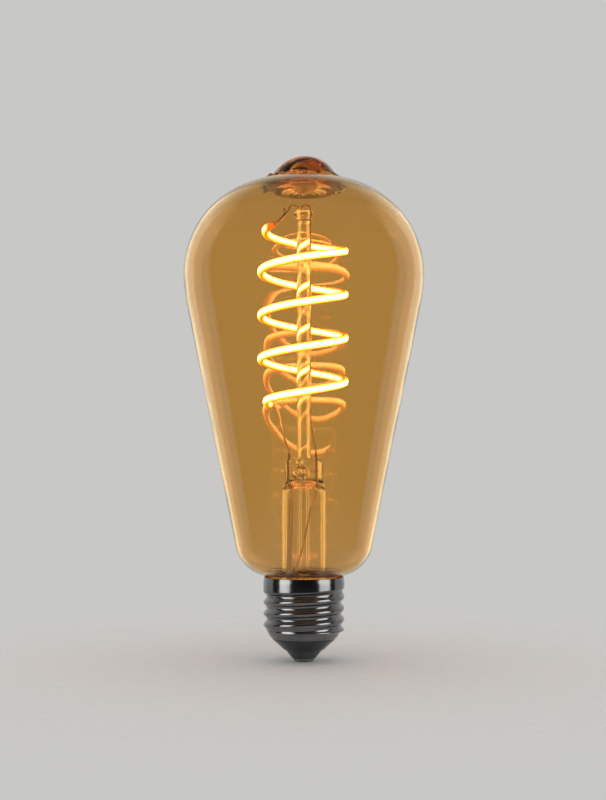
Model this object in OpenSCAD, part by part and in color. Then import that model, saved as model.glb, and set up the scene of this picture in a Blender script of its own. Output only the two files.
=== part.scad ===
// Filament lamp: teardrop glass envelope, wound light filament and a 27 mm screw cap.
// The origin is the middle of the flat end contact, and +Z runs up the axis to the glass pip.
// Sizes are in millimetres.

/* [Envelope] */
// Widest diameter of the glass envelope
envelope_dia = 77.4; // [72:0.2:94]
// Height of the widest point above the end contact
belly_z = 124.7; // [104:0.1:150]
// Radius of the arc that rounds the shoulder above the widest point
shoulder_arc = 30; // [25:0.5:36]
// Radius of the arc between the widest point and the straight cone
belly_arc = 50; // [41:1:60]
// Half angle of the straight cone
cone_angle = 11.4; // [9.5:0.1:13.7]
// Radius of the rounding between the cone and the underside
heel_arc = 12; // [10:0.5:14.5]
// Height of the glass underside above the end contact
heel_z = 27.4; // [27.4:0.1:30]
// Thickness of the blown glass
envelope_wall = 1; // [0.8:0.1:1.2]
// Outer diameter of the neck that the cap is cemented on
neck_dia = 22; // [21:0.1:22.1]
// Height of the lower rim of the neck
neck_foot_z = 17; // [16.6:0.1:18]
// Radius of the fillet between the neck and the underside
neck_fillet = 1.2; // [0.8:0.1:1.4]

/* [Pip] */
// Diameter of the round dome on top
dome_dia = 22.2; // [18:0.1:25]
// Height of the dome above its seat
dome_height = 8; // [6.6:0.1:9.6]
// Outer diameter of the molten bead round the dome
bead_dia = 27; // [26:0.1:32]
// Rise of the bead above the shoulder
bead_rise = 0.4; // [0.3:0.1:0.8]
// Diameter of the lens under the dome
lens_dia = 20; // [16:0.1:24]
// Drop of the lens rim below the inside of the shoulder
lens_drop = 2.3; // [1.8:0.1:2.6]
// Crown of the lens
lens_crown = 0.7; // [0.4:0.1:1.2]
// Rounding of the lens rim
lens_rim = 0.8; // [0.5:0.1:1]

/* [Stem] */
// Outer diameter of the flare tube
flare_dia = 14.4; // [13.4:0.1:15.4]
// Thickness of the flare tube
flare_wall = 1.1; // [0.9:0.1:1.3]
// Height at which the tube starts to flare out towards the neck
flare_bend_z = 23.5; // [22.6:0.1:25]
// Radius of the flared skirt
flare_arc = 6; // [5.5:0.1:7.2]
// Height of the end of the straight flare tube
flare_top_z = 54.5; // [46:0.5:64]
// Length of the rounded shoulder between the tube and the pressed part
press_shoulder = 5; // [4.2:0.1:6]
// Width of the pressed part
press_width = 12.4; // [11:0.1:14]
// Thickness of the pressed part
press_thickness = 5; // [4.2:0.1:6]
// Length of the pressed part above the tube
press_length = 11.2; // [9.6:0.1:13.4]
// Rounding of the corners of the pressed part
press_corner = 2.4; // [1.8:0.1:2.5]
// Outer diameter of the exhaust tube
exhaust_dia = 4.2; // [3.5:0.1:4.8]
// Bore of the exhaust tube
exhaust_bore = 2.2; // [1.8:0.1:2.6]
// Height of the sealed tip of the exhaust tube
exhaust_tip_z = 25; // [24.4:0.1:30]
// Diameter of the exhaust hole in the side of the pressed part
vent_dia = 1.7; // [1.2:0.1:2]
// Diameter of the glass support rod
rod_dia = 4.5; // [3.8:0.1:5.4]
// Length of the support rod and its button
rod_length = 80.1; // [67:0.1:88]
// Diameter of the glass button at the top of the rod
button_dia = 6.5; // [6:0.1:7.8]
// Height of the button
button_height = 3.4; // [2.8:0.1:4.1]

/* [Filament] */
// Diameter of the coil along the middle of the filament
coil_dia = 27; // [22.6:0.1:32]
// Rise of one turn
coil_pitch = 14; // [11.7:0.1:14.6]
// Number of turns
coil_turns = 4.15; // [3.2:0.01:4.4]
// Height of the upper end of the coil
coil_top_z = 140; // [139:0.1:141]
// How much higher each turn stands at the back than at the front
coil_tilt = 1.3; // [0:0.1:1.6]
// How far the two ends of the coil are drawn in towards the axis
end_tuck = 2.6; // [0:0.1:3]
// How far the upper end of the coil droops
end_droop = 0.5; // [0:0.1:1]
// Sideways offset of the coil from the lamp axis
coil_offset = -0.35; // [-0.5:0.05:0.5]
// Height of the coated filament across its section
filament_height = 2.6; // [2.2:0.1:3.1]
// Thickness of the silicone on each side of the strip
coating_depth = 0.9; // [0.8:0.1:1.1]
// Thickness of the flexible strip
strip_thickness = 0.3; // [0.2:0.05:0.4]
// Length of a light chip along the strip
chip_length = 0.9; // [0.6:0.1:1.2]
// Height of a light chip
chip_height = 0.5; // [0.4:0.1:0.6]
// Thickness of a light chip
chip_thickness = 0.15; // [0.1:0.05:0.2]

/* [Leads] */
// Diameter of the inner leads and the outer leads
lead_dia = 0.6; // [0.5:0.05:0.7]
// Diameter of the wires sealed through the pressed glass
seal_dia = 0.7; // [0.6:0.05:0.8]
// Outer diameter of the insulating sleeve on the left outer lead
sleeve_dia = 1.7; // [1.4:0.1:1.9]
// Distance of the left seal wire from the axis
left_seal_x = 4.8; // [4.4:0.1:5]
// Distance of the right seal wire from the axis
right_seal_x = 3.9; // [3.6:0.1:4.6]
// Width of the filament terminals
terminal_width = 0.9; // [0.7:0.1:1.1]
// Thickness of the filament terminals
terminal_thickness = 0.25; // [0.2:0.05:0.3]

/* [Cap] */
// Diameter over the crests of the screw thread
thread_dia = 26.1; // [26.05:0.01:26.45]
// Depth of the rounded thread
thread_depth = 1; // [0.9:0.01:1.05]
// Rise of the thread in one turn, seven turns to the inch
thread_pitch = 3.629; // [3.6:0.001:3.66]
// Height of a thread crest at the right side of the cap
crest_z = 20.85; // [19.2:0.05:22.4]
// Thickness of the shell sheet
shell_sheet = 0.3; // [0.25:0.01:0.32]
// Diameter of the plain collar above the thread
collar_dia = 26.2; // [26.15:0.05:26.6]
// Height of the upper rim of the cap
cap_height = 27.2; // [26.6:0.1:27.3]
// Height of the lower edge of the collar
collar_z = 22.6; // [22.4:0.1:22.9]
// Height of the lower end of the thread
thread_foot_z = 9; // [8.8:0.1:9.2]
// Diameter of the shell between the thread and the cone at its foot
shell_waist_dia = 23; // [22.6:0.1:24]
// Diameter of the lower opening of the shell
shell_foot_dia = 21.2; // [20.4:0.1:21.6]
// Height of the lower edge of the shell
shell_foot_z = 7.6; // [7.2:0.1:7.8]
// Height of the floor inside the insulator
insulator_floor_z = 9.5; // [9.2:0.1:9.7]
// Diameter of the contact plate
plate_dia = 11.6; // [10.4:0.1:12.6]
// Height of the rim of the contact plate
plate_rim_z = 3.5; // [3:0.1:4]
// Thickness of the contact plate
plate_sheet = 0.4; // [0.3:0.05:0.5]
// Diameter of the flat end of the contact rivet
rivet_face_dia = 5; // [4:0.1:5.6]
// Height of the rivet head
rivet_head = 0.9; // [0.7:0.1:1.1]
// Diameter of the rivet shank
shank_dia = 2.5; // [2.2:0.1:3]
// Height of the lower end of the cement between the neck and the collar
cement_foot_z = 23.8; // [23.6:0.1:24.2]
// Height of the upper end of the cement
cement_top_z = 25.8; // [25:0.1:26.1]

/* [Driver] */
// Outer diameter of the plastic holder
holder_dia = 22.2; // [21.6:0.1:22.4]
// Height of the top of the plastic holder
holder_top_z = 14.8; // [14.4:0.1:15]
// Wall of the plastic holder beside the board
holder_wall = 1.25; // [1:0.05:1.5]
// Width of the ledge that carries the board
holder_ledge = 0.9; // [0.6:0.1:1.2]
// Height of the underside of the circuit board
board_z = 12.6; // [12.5:0.1:12.8]
// Thickness of the circuit board
board_thickness = 1; // [0.8:0.1:1.2]
// Diameter of the electrolytic capacitor
capacitor_dia = 6.3; // [5:0.1:6.8]
// Length of the electrolytic capacitor
capacitor_length = 8.6; // [7:0.1:9.6]
// Diameter of the fusible resistor
resistor_dia = 2.3; // [1.8:0.1:2.5]
// Length of the fusible resistor
resistor_length = 5.4; // [4.4:0.1:5.8]

/* [Hidden] */

// Clearance between parts that pass each other without touching
clearance = 0.3;
// Clearance round a wire in its hole
wire_clearance = 0.05;

// Outline of the envelope
envelope_r = envelope_dia / 2;
neck_r = neck_dia / 2;
neck_bore_r = neck_r - envelope_wall;
belly_centre = [envelope_r - belly_arc, belly_z];
cone_start = belly_centre + belly_arc * [cos(cone_angle), -sin(cone_angle)];
heel_centre_z = heel_z + heel_arc;
heel_centre = [
    cone_start[0] + (-heel_arc + (heel_centre_z - cone_start[1]) * sin(cone_angle)) / cos(cone_angle),
    heel_centre_z
];
fillet_r = neck_r + neck_fillet;
heel_start_r = max(fillet_r, heel_centre[0]) - heel_centre[0];
underside_z = heel_centre_z - sqrt(pow(heel_arc, 2) - pow(heel_start_r, 2));
fillet_centre = [fillet_r, underside_z - neck_fillet];
shoulder_centre = [envelope_r - shoulder_arc, belly_z];
bead_r = bead_dia / 2;
dome_r = dome_dia / 2;
lens_r = lens_dia / 2;
shoulder_end = acos((bead_r - shoulder_centre[0]) / shoulder_arc);
bead_foot_z = belly_z + shoulder_arc * sin(shoulder_end);
dome_seat_z = bead_foot_z + 0.7 * bead_rise;
dome_arc = (pow(dome_r, 2) + pow(dome_height, 2)) / (2 * dome_height);
lamp_top_z = dome_seat_z + dome_height;
inner_arc = shoulder_arc - envelope_wall;
lens_root_r = lens_r + lens_rim / 2;
lens_root = acos((lens_root_r - shoulder_centre[0]) / inner_arc);
lens_root_z = belly_z + inner_arc * sin(lens_root);
lens_edge_z = lens_root_z - lens_drop;
lens_flat_r = lens_r - lens_rim;
lens_arc = (pow(lens_flat_r, 2) + pow(lens_crown, 2)) / (2 * lens_crown);
lens_bottom_z = lens_edge_z - lens_crown;

// Stem
flare_r = flare_dia / 2;
flare_bore_r = flare_r - flare_wall;
flare_centre = [flare_r + flare_arc, flare_bend_z];
flare_angle = acos((flare_centre[0] - neck_bore_r) / flare_arc);
skirt_bore_r = neck_bore_r - flare_wall;
skirt_angle = acos((flare_centre[0] - skirt_bore_r) / (flare_arc + flare_wall));
press_top_z = flare_top_z + press_length;
press_waist_z = flare_top_z + press_shoulder;
press_waist_inset = 0.6;
press_waist_r = press_width / 2 - press_waist_inset;
flare_shoulder_r = 2;
flare_dome_height = 3;
flare_roof_z = flare_top_z + flare_dome_height;
vent_rise = 3.4;
vent_z = flare_roof_z + vent_rise;
vent_x = -0.6;
rod_root_flange = 0.15;
rod_root_height = 1.2;
exhaust_r = exhaust_dia / 2;
rod_top_z = press_top_z + rod_length;
rod_r = rod_dia / 2;
button_r = button_dia / 2;
button_z = rod_top_z - button_height / 2;

// Filament coil, counted in turns down from its upper end
coil_r = coil_dia / 2;
rings_a_turn = 24;
coil_rings = ceil(coil_turns * rings_a_turn);
coil_start_angle = 214;
// Share of a turn over which an end of the coil is drawn in
tuck_span = 0.3;
half_strip = strip_thickness / 2;
half_height = filament_height / 2;
coat_r = half_strip + coating_depth;
chip_slack = 0.01;
groove_depth = chip_thickness + 0.1;
groove_half = chip_height / 2 + clearance;

// Seal wires
seal_foot_z = flare_top_z + 1;
seal_top_z = press_top_z + 1.3;
lead_r = lead_dia / 2;
seal_r = seal_dia / 2;
wire_sides = 8;
wire_steps = 3;

// Cap
crest_r = thread_dia / 2;
thread_mean_r = crest_r - thread_depth / 2;
collar_r = collar_dia / 2;
collar_bore_r = collar_r - shell_sheet;
thread_columns = 36;
thread_rows = 46;
thread_top_z = collar_z + 0.3;
thread_fade = 1.3;
// Thickness of the shell sheet where the thread meets the collar and where it meets the foot
seam_sheet = 0.19;
foot_sheet = 0.24;
// Overlap of the thread with the plain parts of the shell
band_slack = 0.05;
band_slope = 0.08;
band_rise = 0.5;
band_drop = 0.3;
root_r = crest_r - thread_depth;
shell_waist_r = shell_waist_dia / 2;
shell_foot_r = shell_foot_dia / 2;
band_outer_r = shell_waist_r + band_slack;
band_inner_r = shell_waist_r - shell_sheet - band_slope;
band_top_z = thread_foot_z + band_rise;
band_foot_z = thread_foot_z - band_drop;
band_heel_z = thread_foot_z - 0.2;
shell_edge_z = shell_foot_z + 0.1;
insulator_lip = 0.4;
shell_foot_bore_r = shell_foot_r - shell_sheet;
plate_r = plate_dia / 2;
plate_slope = 1.9;
plate_foot_r = plate_r - plate_slope;
plate_z = rivet_head;
// Insulator boss that fills the contact plate
boss_r = plate_r - plate_sheet * 1.3;
boss_foot_r = plate_foot_r - plate_sheet / 2;
shank_r = shank_dia / 2;
rivet_upset = 0.4;
rivet_top_z = insulator_floor_z + rivet_upset;
rivet_bore_z = plate_rim_z + 1;

// Driver
holder_r = holder_dia / 2;
board_r = holder_r - holder_wall;
board_top_z = board_z + board_thickness;
capacitor_at = [2.2, 1];
capacitor_leg = 1.25;
capacitor_leg_r = 0.25;
capacitor_groove = 0.25;
capacitor_groove_z = 1.2;
bridge_at = [-5, -1.9];
bridge_size = [3.8, 4.7, 2.2];
chip_at = [4.45, -2.7];
chip_size = [3.8, 4.9, 1.4];
foot_width = 0.45;
foot_reach = 0.8;
foot_thickness = 0.2;
stand_off = 0.1;
chip_resistor_size = [1.6, 0.8, 0.5];
chip_resistor_x = 4.2;
chip_resistor_rows = [3.2, 4.8, 6.4];
left_hole = [-5.5, 2];
right_hole = [-3.5, -5.5];
joint_r = 0.9;
edge_hole_r = board_r - holder_ledge - joint_r - 0.2;
shell_hole = [0, edge_hole_r];
resistor_hole = [0, -edge_hole_r];
resistor_z = (insulator_floor_z + board_z) / 2;
resistor_y = (-edge_hole_r - 1.3) / 2;
resistor_r = resistor_dia / 2;
hole_r = lead_r + wire_clearance;
tail = 0.6;
shell_wire_r = 0.25;
shell_wire_path_r = neck_r + shell_wire_r + 0.1;

// Hand-laid routes of the wires, from their lower end to their upper end
left_lead_top = [-4.1, -0.5, flare_top_z - 0.5];
left_lead_foot = [-4.9, -0.3, flare_bend_z + 2.5];
left_lead_run = left_lead_top - left_lead_foot;
sleeve_inset = 0.06;
left_lead_route = [
    [left_hole[0], left_hole[1], board_z - tail],
    [left_hole[0], left_hole[1], board_top_z + 1],
    [-5.3, 0.6, 20],
    left_lead_foot,
    left_lead_foot + sleeve_inset * left_lead_run,
    left_lead_top - sleeve_inset * left_lead_run,
    left_lead_top,
    [-left_seal_x, 0, seal_foot_z - 0.4],
    [-left_seal_x, 0, seal_foot_z]
];
right_lead_route = [
    [right_hole[0], right_hole[1], board_z - tail],
    [right_hole[0], right_hole[1], board_top_z + 1],
    [-3.2, -4.6, 21],
    [-2.2, -3.9, 30],
    [-0.3, -3.5, 37],
    [2.3, -3.1, flare_top_z - 4.5],
    [3.6, -1.1, flare_top_z - 1.4],
    [right_seal_x, 0, seal_foot_z - 0.4],
    [right_seal_x, 0, seal_foot_z]
];
lead_beside_rod = [rod_r + lead_r - 0.5, -1.75];
coil_top = coil_point(0, 0, 0);
coil_foot = coil_point(coil_turns, 0, 0);
// The foot of the plumb line under the upper end of the coil
at_coil_top = [coil_top[0], coil_top[1], 0];
long_lead_route = [
    [right_seal_x, 0, seal_top_z],
    [right_seal_x, 0, seal_top_z + 0.6],
    [3.1, -0.9, press_top_z + 6],
    [2.4, -1.6, press_top_z + 10.5],
    [lead_beside_rod[0], lead_beside_rod[1], press_top_z + 14],
    [lead_beside_rod[0], lead_beside_rod[1], rod_top_z - 30],
    [lead_beside_rod[0], lead_beside_rod[1], rod_top_z - 4],
    [lead_beside_rod[0], lead_beside_rod[1], rod_top_z],
    [lead_beside_rod[0], lead_beside_rod[1], rod_top_z + 0.3],
    [1.1, -1.3, rod_top_z + 1],
    [0.2, -0.9, rod_top_z + 1.3],
    [-0.5, -1.1, rod_top_z + 0.6],
    [-2.4, -3.2, rod_top_z + 0.3],
    [-4, -5.1, rod_top_z + 0.1],
    at_coil_top + [3.9, -0.2, rod_top_z - 2.4],
    at_coil_top + [2.6, -0.85, rod_top_z - 4],
    at_coil_top + [2, -1.05, rod_top_z - 4.7]
];
top_tangent = [cos(coil_start_angle + 90), sin(coil_start_angle + 90), 0];
foot_angle = coil_start_angle - 360 * coil_turns;
foot_tangent = [-cos(foot_angle + 90), -sin(foot_angle + 90), 0];
short_lead_route = [
    [-left_seal_x, 0, seal_top_z],
    [-left_seal_x, 0, seal_top_z + 0.5],
    [-6.1, 0, seal_top_z + 4.2],
    [-6.8, 0.2, seal_top_z + 6.9],
    [-7.4, 0.8, seal_top_z + 9.2],
    [-7.9, 1.9, coil_foot[2] - 3.4],
    coil_foot + [1.7, -0.5, -1.2],
    coil_foot + [0.7, 0.5, -0.5]
];
top_terminal_route = [
    coil_top,
    coil_top + 0.6 * top_tangent,
    coil_top + 1.3 * top_tangent + [0.4, 0.5, 0.7],
    at_coil_top + [2.1, -0.5, rod_top_z - 4.4],
    at_coil_top + [3.1, -0.1, rod_top_z - 3.1],
    at_coil_top + [3.4, 0.5, rod_top_z - 1.9],
    at_coil_top + [2.9, 1.2, rod_top_z - 0.7]
];
foot_terminal_route = [
    coil_foot,
    coil_foot + 0.6 * foot_tangent,
    coil_foot + 1.3 * foot_tangent + [0.5, -0.1, -0.1],
    coil_foot + [1.9, 1.3, -0.3],
    coil_foot + [2.9, 1, -0.8]
];

// Points along an arc
function arc(centre, r, from, to, steps) = [
    for (i = [0 : steps])
        let (a = from + (to - from) * i / steps)
            [centre[0] + r * cos(a), centre[1] + r * sin(a)]
];

function unit(v) = v / norm(v);

// List of points in the opposite order
function reversed(list) = [for (i = [len(list) - 1 : -1 : 0]) list[i]];

// Smooth ramp from 0 to 1
function ramp(x) = let (c = min(1, max(0, x))) c * c * (3 - 2 * c);

// Direction of a hand-laid route at one of its points; its first and last stretches stay straight
function heading(route, i) =
    let (last = len(route) - 1, from = i <= 1 ? 0 : i - 1, to = i <= 1 ? 1 : i >= last - 1 ? last : i + 1)
        unit(route[to] - route[i >= last - 1 ? last - 1 : from]);

// Point of a smooth curve from a to b that leaves along da and arrives along db
function bend(a, b, da, db, t) =
    (2 * pow(t, 3) - 3 * pow(t, 2) + 1) * a + (3 * pow(t, 2) - 2 * pow(t, 3)) * b
    + norm(b - a) * ((pow(t, 3) - 2 * pow(t, 2) + t) * da + (pow(t, 3) - pow(t, 2)) * db);

// Points of a smooth curve through a hand-laid route
function smooth(route, steps) = concat(
    [route[0]],
    [
        for (i = [1 : len(route) - 3], j = [0 : steps - 1])
            bend(route[i], route[i + 1], heading(route, i), heading(route, i + 1), j / steps)
    ],
    [route[len(route) - 2], route[len(route) - 1]]
);

// Rings of a section that follows a path; side is a direction that the path never takes
function tangent_at(path, i) = unit(path[min(len(path) - 1, i + 1)] - path[max(0, i - 1)]);
function rings_along(path, section, side) = [
    for (i = [0 : len(path) - 1])
        let (t = tangent_at(path, i), u = unit(cross(side, t)), v = cross(t, u))
            [for (s = section) path[i] + s[0] * u + s[1] * v]
];
function round_section(r, sides) = [for (i = [0 : sides - 1]) r * [cos(360 * i / sides), sin(360 * i / sides)]];
function flat_section(width, thickness) = [
    [width / 2, thickness / 2], [-width / 2, thickness / 2],
    [-width / 2, -thickness / 2], [width / 2, -thickness / 2]
];

// Triangles that close a ring of n points
function fan(n) = [for (j = [1 : n - 2]) [0, j, j + 1]];

// Solid skin over a list of rings with the same number of points
module skin(rings, cap) {
    n = len(rings[0]);
    last = (len(rings) - 1) * n;
    close = is_undef(cap) ? fan(n) : cap;
    points = [for (ring = rings, p = ring) p];
    sides = [
        for (i = [0 : len(rings) - 2], j = [0 : n - 1])
            let (a = i * n + j, b = i * n + (j + 1) % n)
                each [[a, a + n, b], [b, a + n, b + n]]
    ];
    ends = [
        for (t = close)
            each [t, [last + t[2], last + t[1], last + t[0]]]
    ];
    polyhedron(points, concat(sides, ends));
}

module wire(route, r) {
    skin(rings_along(smooth(route, wire_steps), round_section(r, wire_sides), [0, 1, 0]));
}

// Straight round bar between two points
module bar(from, to, r) {
    d = to - from;
    translate(from)
        rotate([0, acos(d[2] / norm(d)), atan2(d[1], d[0])])
            cylinder(h = norm(d), r = r, $fn = 32);
}

// How much the coil is drawn in, t turns from one of its ends
function drawn(t) = pow(max(0, 1 - t / tuck_span), 1.5);

// Point of the coil, t turns below its upper end, moved out by dr and up by dz
function coil_point(t, dr, dz) =
    let (
        a = coil_start_angle - 360 * t,
        r = coil_r + dr - end_tuck * (drawn(t) + drawn(coil_turns - t)),
        stand = coil_tilt * (1 + sin(a)) / 2 - end_droop * drawn(t)
    )
        [coil_offset + r * cos(a), r * sin(a), coil_top_z - coil_pitch * t + stand + dz];

// Section of a filament layer drawn in towards the strip's face at the ends of the coil
function drawn_in(section, s) = [
    for (p = section)
        [sign(p[0]) * (half_strip + (abs(p[0]) - half_strip) * s), p[1] * s]
];

// Rings of a filament layer; a coating tapers over its first and last rings
function coil_rings_of(section, taper) = [
    for (i = [0 : coil_rings])
        let (edge = min(i, coil_rings - i), s = taper && edge == 0 ? 0.55 : taper && edge == 1 ? 0.88 : 1)
            [for (p = drawn_in(section, s)) coil_point(coil_turns * i / coil_rings, p[0], p[1])]
];

coating_outline = [
    [half_strip, half_height * 0.92], [half_strip + 0.45 * coating_depth, half_height * 0.9],
    [half_strip + 0.85 * coating_depth, half_height * 0.5], [coat_r, 0],
    [half_strip + 0.85 * coating_depth, -half_height * 0.5],
    [half_strip + 0.45 * coating_depth, -half_height * 0.9], [half_strip, -half_height * 0.92]
];

// Least gap between neighbouring turns, measured on the outer corners of the section
turn_gaps = [
    for (i = [0 : coil_rings - rings_a_turn])
        let (
            upper = coil_point(coil_turns * i / coil_rings, 0, -half_height),
            lower = coil_point(coil_turns * (i + rings_a_turn) / coil_rings, 0, half_height)
        )
            norm(upper - lower)
];
echo(least_gap_between_turns = min(turn_gaps));

envelope_outline = concat(
    [[neck_bore_r, neck_foot_z], [neck_r, neck_foot_z]],
    arc(fillet_centre, neck_fillet, 180, 90, 4),
    arc(heel_centre, heel_arc, -acos(heel_start_r / heel_arc) + 1, -cone_angle, 12),
    arc(belly_centre, belly_arc, -cone_angle * 3 / 4, 0, 3),
    arc(shoulder_centre, shoulder_arc, 4, shoulder_end, 18),
    [
        for (a = [25 : 26 : 155])
            [
                (bead_r + dome_r) / 2 + (bead_r - dome_r) / 2 * cos(a),
                bead_foot_z + (dome_seat_z - bead_foot_z) * (1 - cos(a)) / 2 + bead_rise * sin(a)
            ]
    ],
    arc([0, lamp_top_z - dome_arc], dome_arc, acos(dome_r / dome_arc), 90, 14),
    reversed(concat(
        arc(fillet_centre, neck_fillet + envelope_wall, 180, 91, 4),
        arc(
            heel_centre, heel_arc - envelope_wall,
            -acos(heel_start_r / (heel_arc - envelope_wall)) + 1, -cone_angle, 12
        ),
        arc(belly_centre, belly_arc - envelope_wall, -cone_angle * 3 / 4, 0, 3),
        arc(shoulder_centre, inner_arc, 4, lens_root, 18),
        arc([lens_flat_r, lens_edge_z + lens_rim], lens_rim, 0, -80, 4),
        arc([0, lens_bottom_z + lens_arc], lens_arc, -acos(lens_flat_r / lens_arc) - 1, -90, 8)
    ))
);

module glass_envelope() {
    color([0.92, 0.66, 0.32, 0.35]) {
        rotate_extrude($fn = 96) {
            polygon(envelope_outline);
        }
    }
}

// Outer and inner outline of the flare tube, its skirt and its closed roof
stem_outline = concat(
    [[skirt_bore_r, neck_foot_z], [neck_bore_r, neck_foot_z]],
    reversed(arc(flare_centre, flare_arc, 180, 180 + flare_angle, 8)),
    [[flare_r, flare_top_z]],
    arc([flare_r - flare_shoulder_r, flare_top_z], flare_shoulder_r, 20, 60, 3),
    [[press_waist_r, press_waist_z], [0, press_waist_z]],
    reversed(concat(
        arc(flare_centre, flare_arc + flare_wall, 180 + skirt_angle, 180, 8),
        [
            for (a = [0 : 15 : 90])
                [flare_bore_r * cos(a), flare_top_z + flare_dome_height * sin(a)]
        ]
    ))
);

// Flattened block with round ends and rounded upper corners
module press_block() {
    half = press_width / 2;
    intersection() {
        translate([0, 0, flare_roof_z])
            linear_extrude(press_top_z - flare_roof_z) {
                square([press_width - press_thickness, press_thickness], center = true);
                translate([half - press_thickness / 2, 0]) circle(d = press_thickness, $fn = 48);
                translate([press_thickness / 2 - half, 0]) circle(d = press_thickness, $fn = 48);
            }
        rotate([90, 0, 0])
            linear_extrude(press_thickness + 2, center = true) {
                translate([-half, flare_roof_z])
                    square([press_width, press_top_z - flare_roof_z - press_corner]);
                translate([press_corner - half, flare_roof_z])
                    square([press_width - 2 * press_corner, press_top_z - flare_roof_z]);
                for (side = [-1, 1])
                    translate([side * (half - press_corner), press_top_z - press_corner])
                        circle(r = press_corner, $fn = 48);
            }
    }
}

module stem_flare() {
    color([0.85, 0.8, 0.72, 0.5]) {
        difference() {
            union() {
                rotate_extrude($fn = 96) polygon(stem_outline);
                press_block();
            }
            translate([0, 0, flare_roof_z - 1]) cylinder(h = vent_z - flare_roof_z + 1, d = exhaust_bore, $fn = 32);
            translate([vent_x, 0, vent_z])
                rotate([90, 0, 0])
                    cylinder(h = press_thickness, d = vent_dia, $fn = 32);
            for (x = [-left_seal_x, right_seal_x])
                translate([x, 0, flare_top_z])
                    cylinder(h = press_length + 2, r = seal_r, $fn = 32);
        }
    }
}

module exhaust_tube() {
    tip = exhaust_r;
    color([0.85, 0.8, 0.72, 0.5]) {
        rotate_extrude($fn = 48) {
            polygon(concat(
                arc([0, exhaust_tip_z + tip], exhaust_r, -90, 0, 6),
                [
                    [exhaust_r, roof_height_at(exhaust_r) - wire_clearance],
                    [exhaust_bore / 2, roof_height_at(exhaust_r) - wire_clearance]
                ],
                arc([0, exhaust_tip_z + tip + 1], exhaust_bore / 2, 0, -90, 6)
            ));
        }
    }
}

// Height of the inside of the flare tube's roof at a distance from the axis
function roof_height_at(r) = flare_top_z + flare_dome_height * sqrt(1 - pow(r / flare_bore_r, 2)) - wire_clearance;

module support_rod() {
    neck_z = button_z - button_height / 2;
    color([0.85, 0.8, 0.72, 0.5]) {
        difference() {
            rotate_extrude($fn = 48) {
                polygon(concat(
                    [[0, press_top_z], [rod_r + rod_root_flange, press_top_z]],
                    [[rod_r, press_top_z + rod_root_height], [rod_r, neck_z - rod_root_height / 2]],
                    [
                        for (a = [-60 : 15 : 75])
                            [
                                rod_r / 2 + (button_r - rod_r / 2) * cos(a),
                                button_z + button_height / 2 * sin(a)
                            ]
                    ],
                    [[rod_r / 2, rod_top_z], [0, rod_top_z]]
                ));
            }
            translate([lead_beside_rod[0], lead_beside_rod[1], neck_z - 3])
                cylinder(h = button_height + 6, r = lead_r + wire_clearance, $fn = 32);
        }
    }
}

module seal_wires() {
    color([0.6, 0.3, 0.18]) {
        for (x = [-left_seal_x, right_seal_x])
            translate([x, 0, seal_foot_z])
                cylinder(h = seal_top_z - seal_foot_z, r = seal_r, $fn = 32);
    }
}

module long_lead_wire() {
    color([0.72, 0.6, 0.5]) wire(long_lead_route, lead_r);
}

module short_lead_wire() {
    color([0.72, 0.6, 0.5]) wire(short_lead_route, lead_r);
}

module outer_lead_left() {
    color([0.7, 0.45, 0.3]) wire(left_lead_route, lead_r);
}

module outer_lead_right() {
    color([0.7, 0.45, 0.3]) wire(right_lead_route, lead_r);
}

module lead_sleeve() {
    color([0.9, 0.87, 0.8]) {
        difference() {
            bar(
                left_lead_foot + sleeve_inset * left_lead_run,
                left_lead_top - sleeve_inset * left_lead_run,
                sleeve_dia / 2
            );
            bar(left_lead_foot, left_lead_top, lead_r + 2 * wire_clearance);
        }
    }
}

module filament_strip() {
    color([0.85, 0.55, 0.2])
        skin(coil_rings_of(flat_section(strip_thickness, filament_height), false));
}

module filament_outer_coating() {
    color([1, 0.62, 0.1]) skin(coil_rings_of(coating_outline, true));
}

// The inner coating has a groove over the chips, so its ends close round the groove
module filament_inner_coating() {
    outline = concat(
        [
            [-half_strip, groove_half], [-half_strip - groove_depth, groove_half],
            [-half_strip - groove_depth, -groove_half], [-half_strip, -groove_half]
        ],
        reversed([for (p = coating_outline) [-p[0], p[1]]])
    );
    cap = [[1, 2, 7], [1, 7, 8], [0, 1, 8], [0, 8, 9], [0, 9, 10], [2, 3, 6], [2, 6, 7], [3, 5, 6], [3, 4, 5]];
    color([1, 0.7, 0.15]) skin(coil_rings_of(outline, true), cap);
}

// One chip on the middle of each flat of the strip's inner face
module led_chips() {
    color([0.95, 0.9, 0.5])
        for (i = [1 : coil_rings - 2]) {
            from = coil_point(coil_turns * i / coil_rings, -half_strip, 0);
            to = coil_point(coil_turns * (i + 1) / coil_rings, -half_strip, 0);
            run = unit(to - from);
            translate((from + to) / 2)
                rotate([0, -asin(run[2]), atan2(run[1], run[0])])
                    translate([0, -chip_thickness / 2 - chip_slack, 0])
                        cube([chip_length, chip_thickness, chip_height], center = true);
        }
}

module filament_top_terminal() {
    color([0.75, 0.7, 0.62])
        skin(rings_along(
            smooth(top_terminal_route, wire_steps), flat_section(terminal_thickness, terminal_width), [0, 0, -1]
        ));
}

module filament_bottom_terminal() {
    color([0.75, 0.7, 0.62])
        skin(rings_along(
            smooth(foot_terminal_route, wire_steps), flat_section(terminal_thickness, terminal_width), [0, 0, -1]
        ));
}

// How far the thread has grown at a height, from its lower end and from its upper end
function thread_in(z) = ramp((z - thread_foot_z) / thread_fade);
function thread_out(z) = ramp((thread_top_z - z) / thread_fade);

// Outer radius of the threaded shell at a height and an angle
function thread_r(z, a) =
    let (
        wave = thread_depth / 2 * cos(360 * (z - crest_z) / thread_pitch - a) * thread_in(z) * thread_out(z),
        foot = (thread_mean_r - shell_waist_r) * (1 - thread_in(z)),
        top = (collar_r - band_slack - thread_mean_r) * (1 - thread_out(z))
    )
        thread_mean_r + wave - foot + top;

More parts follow.
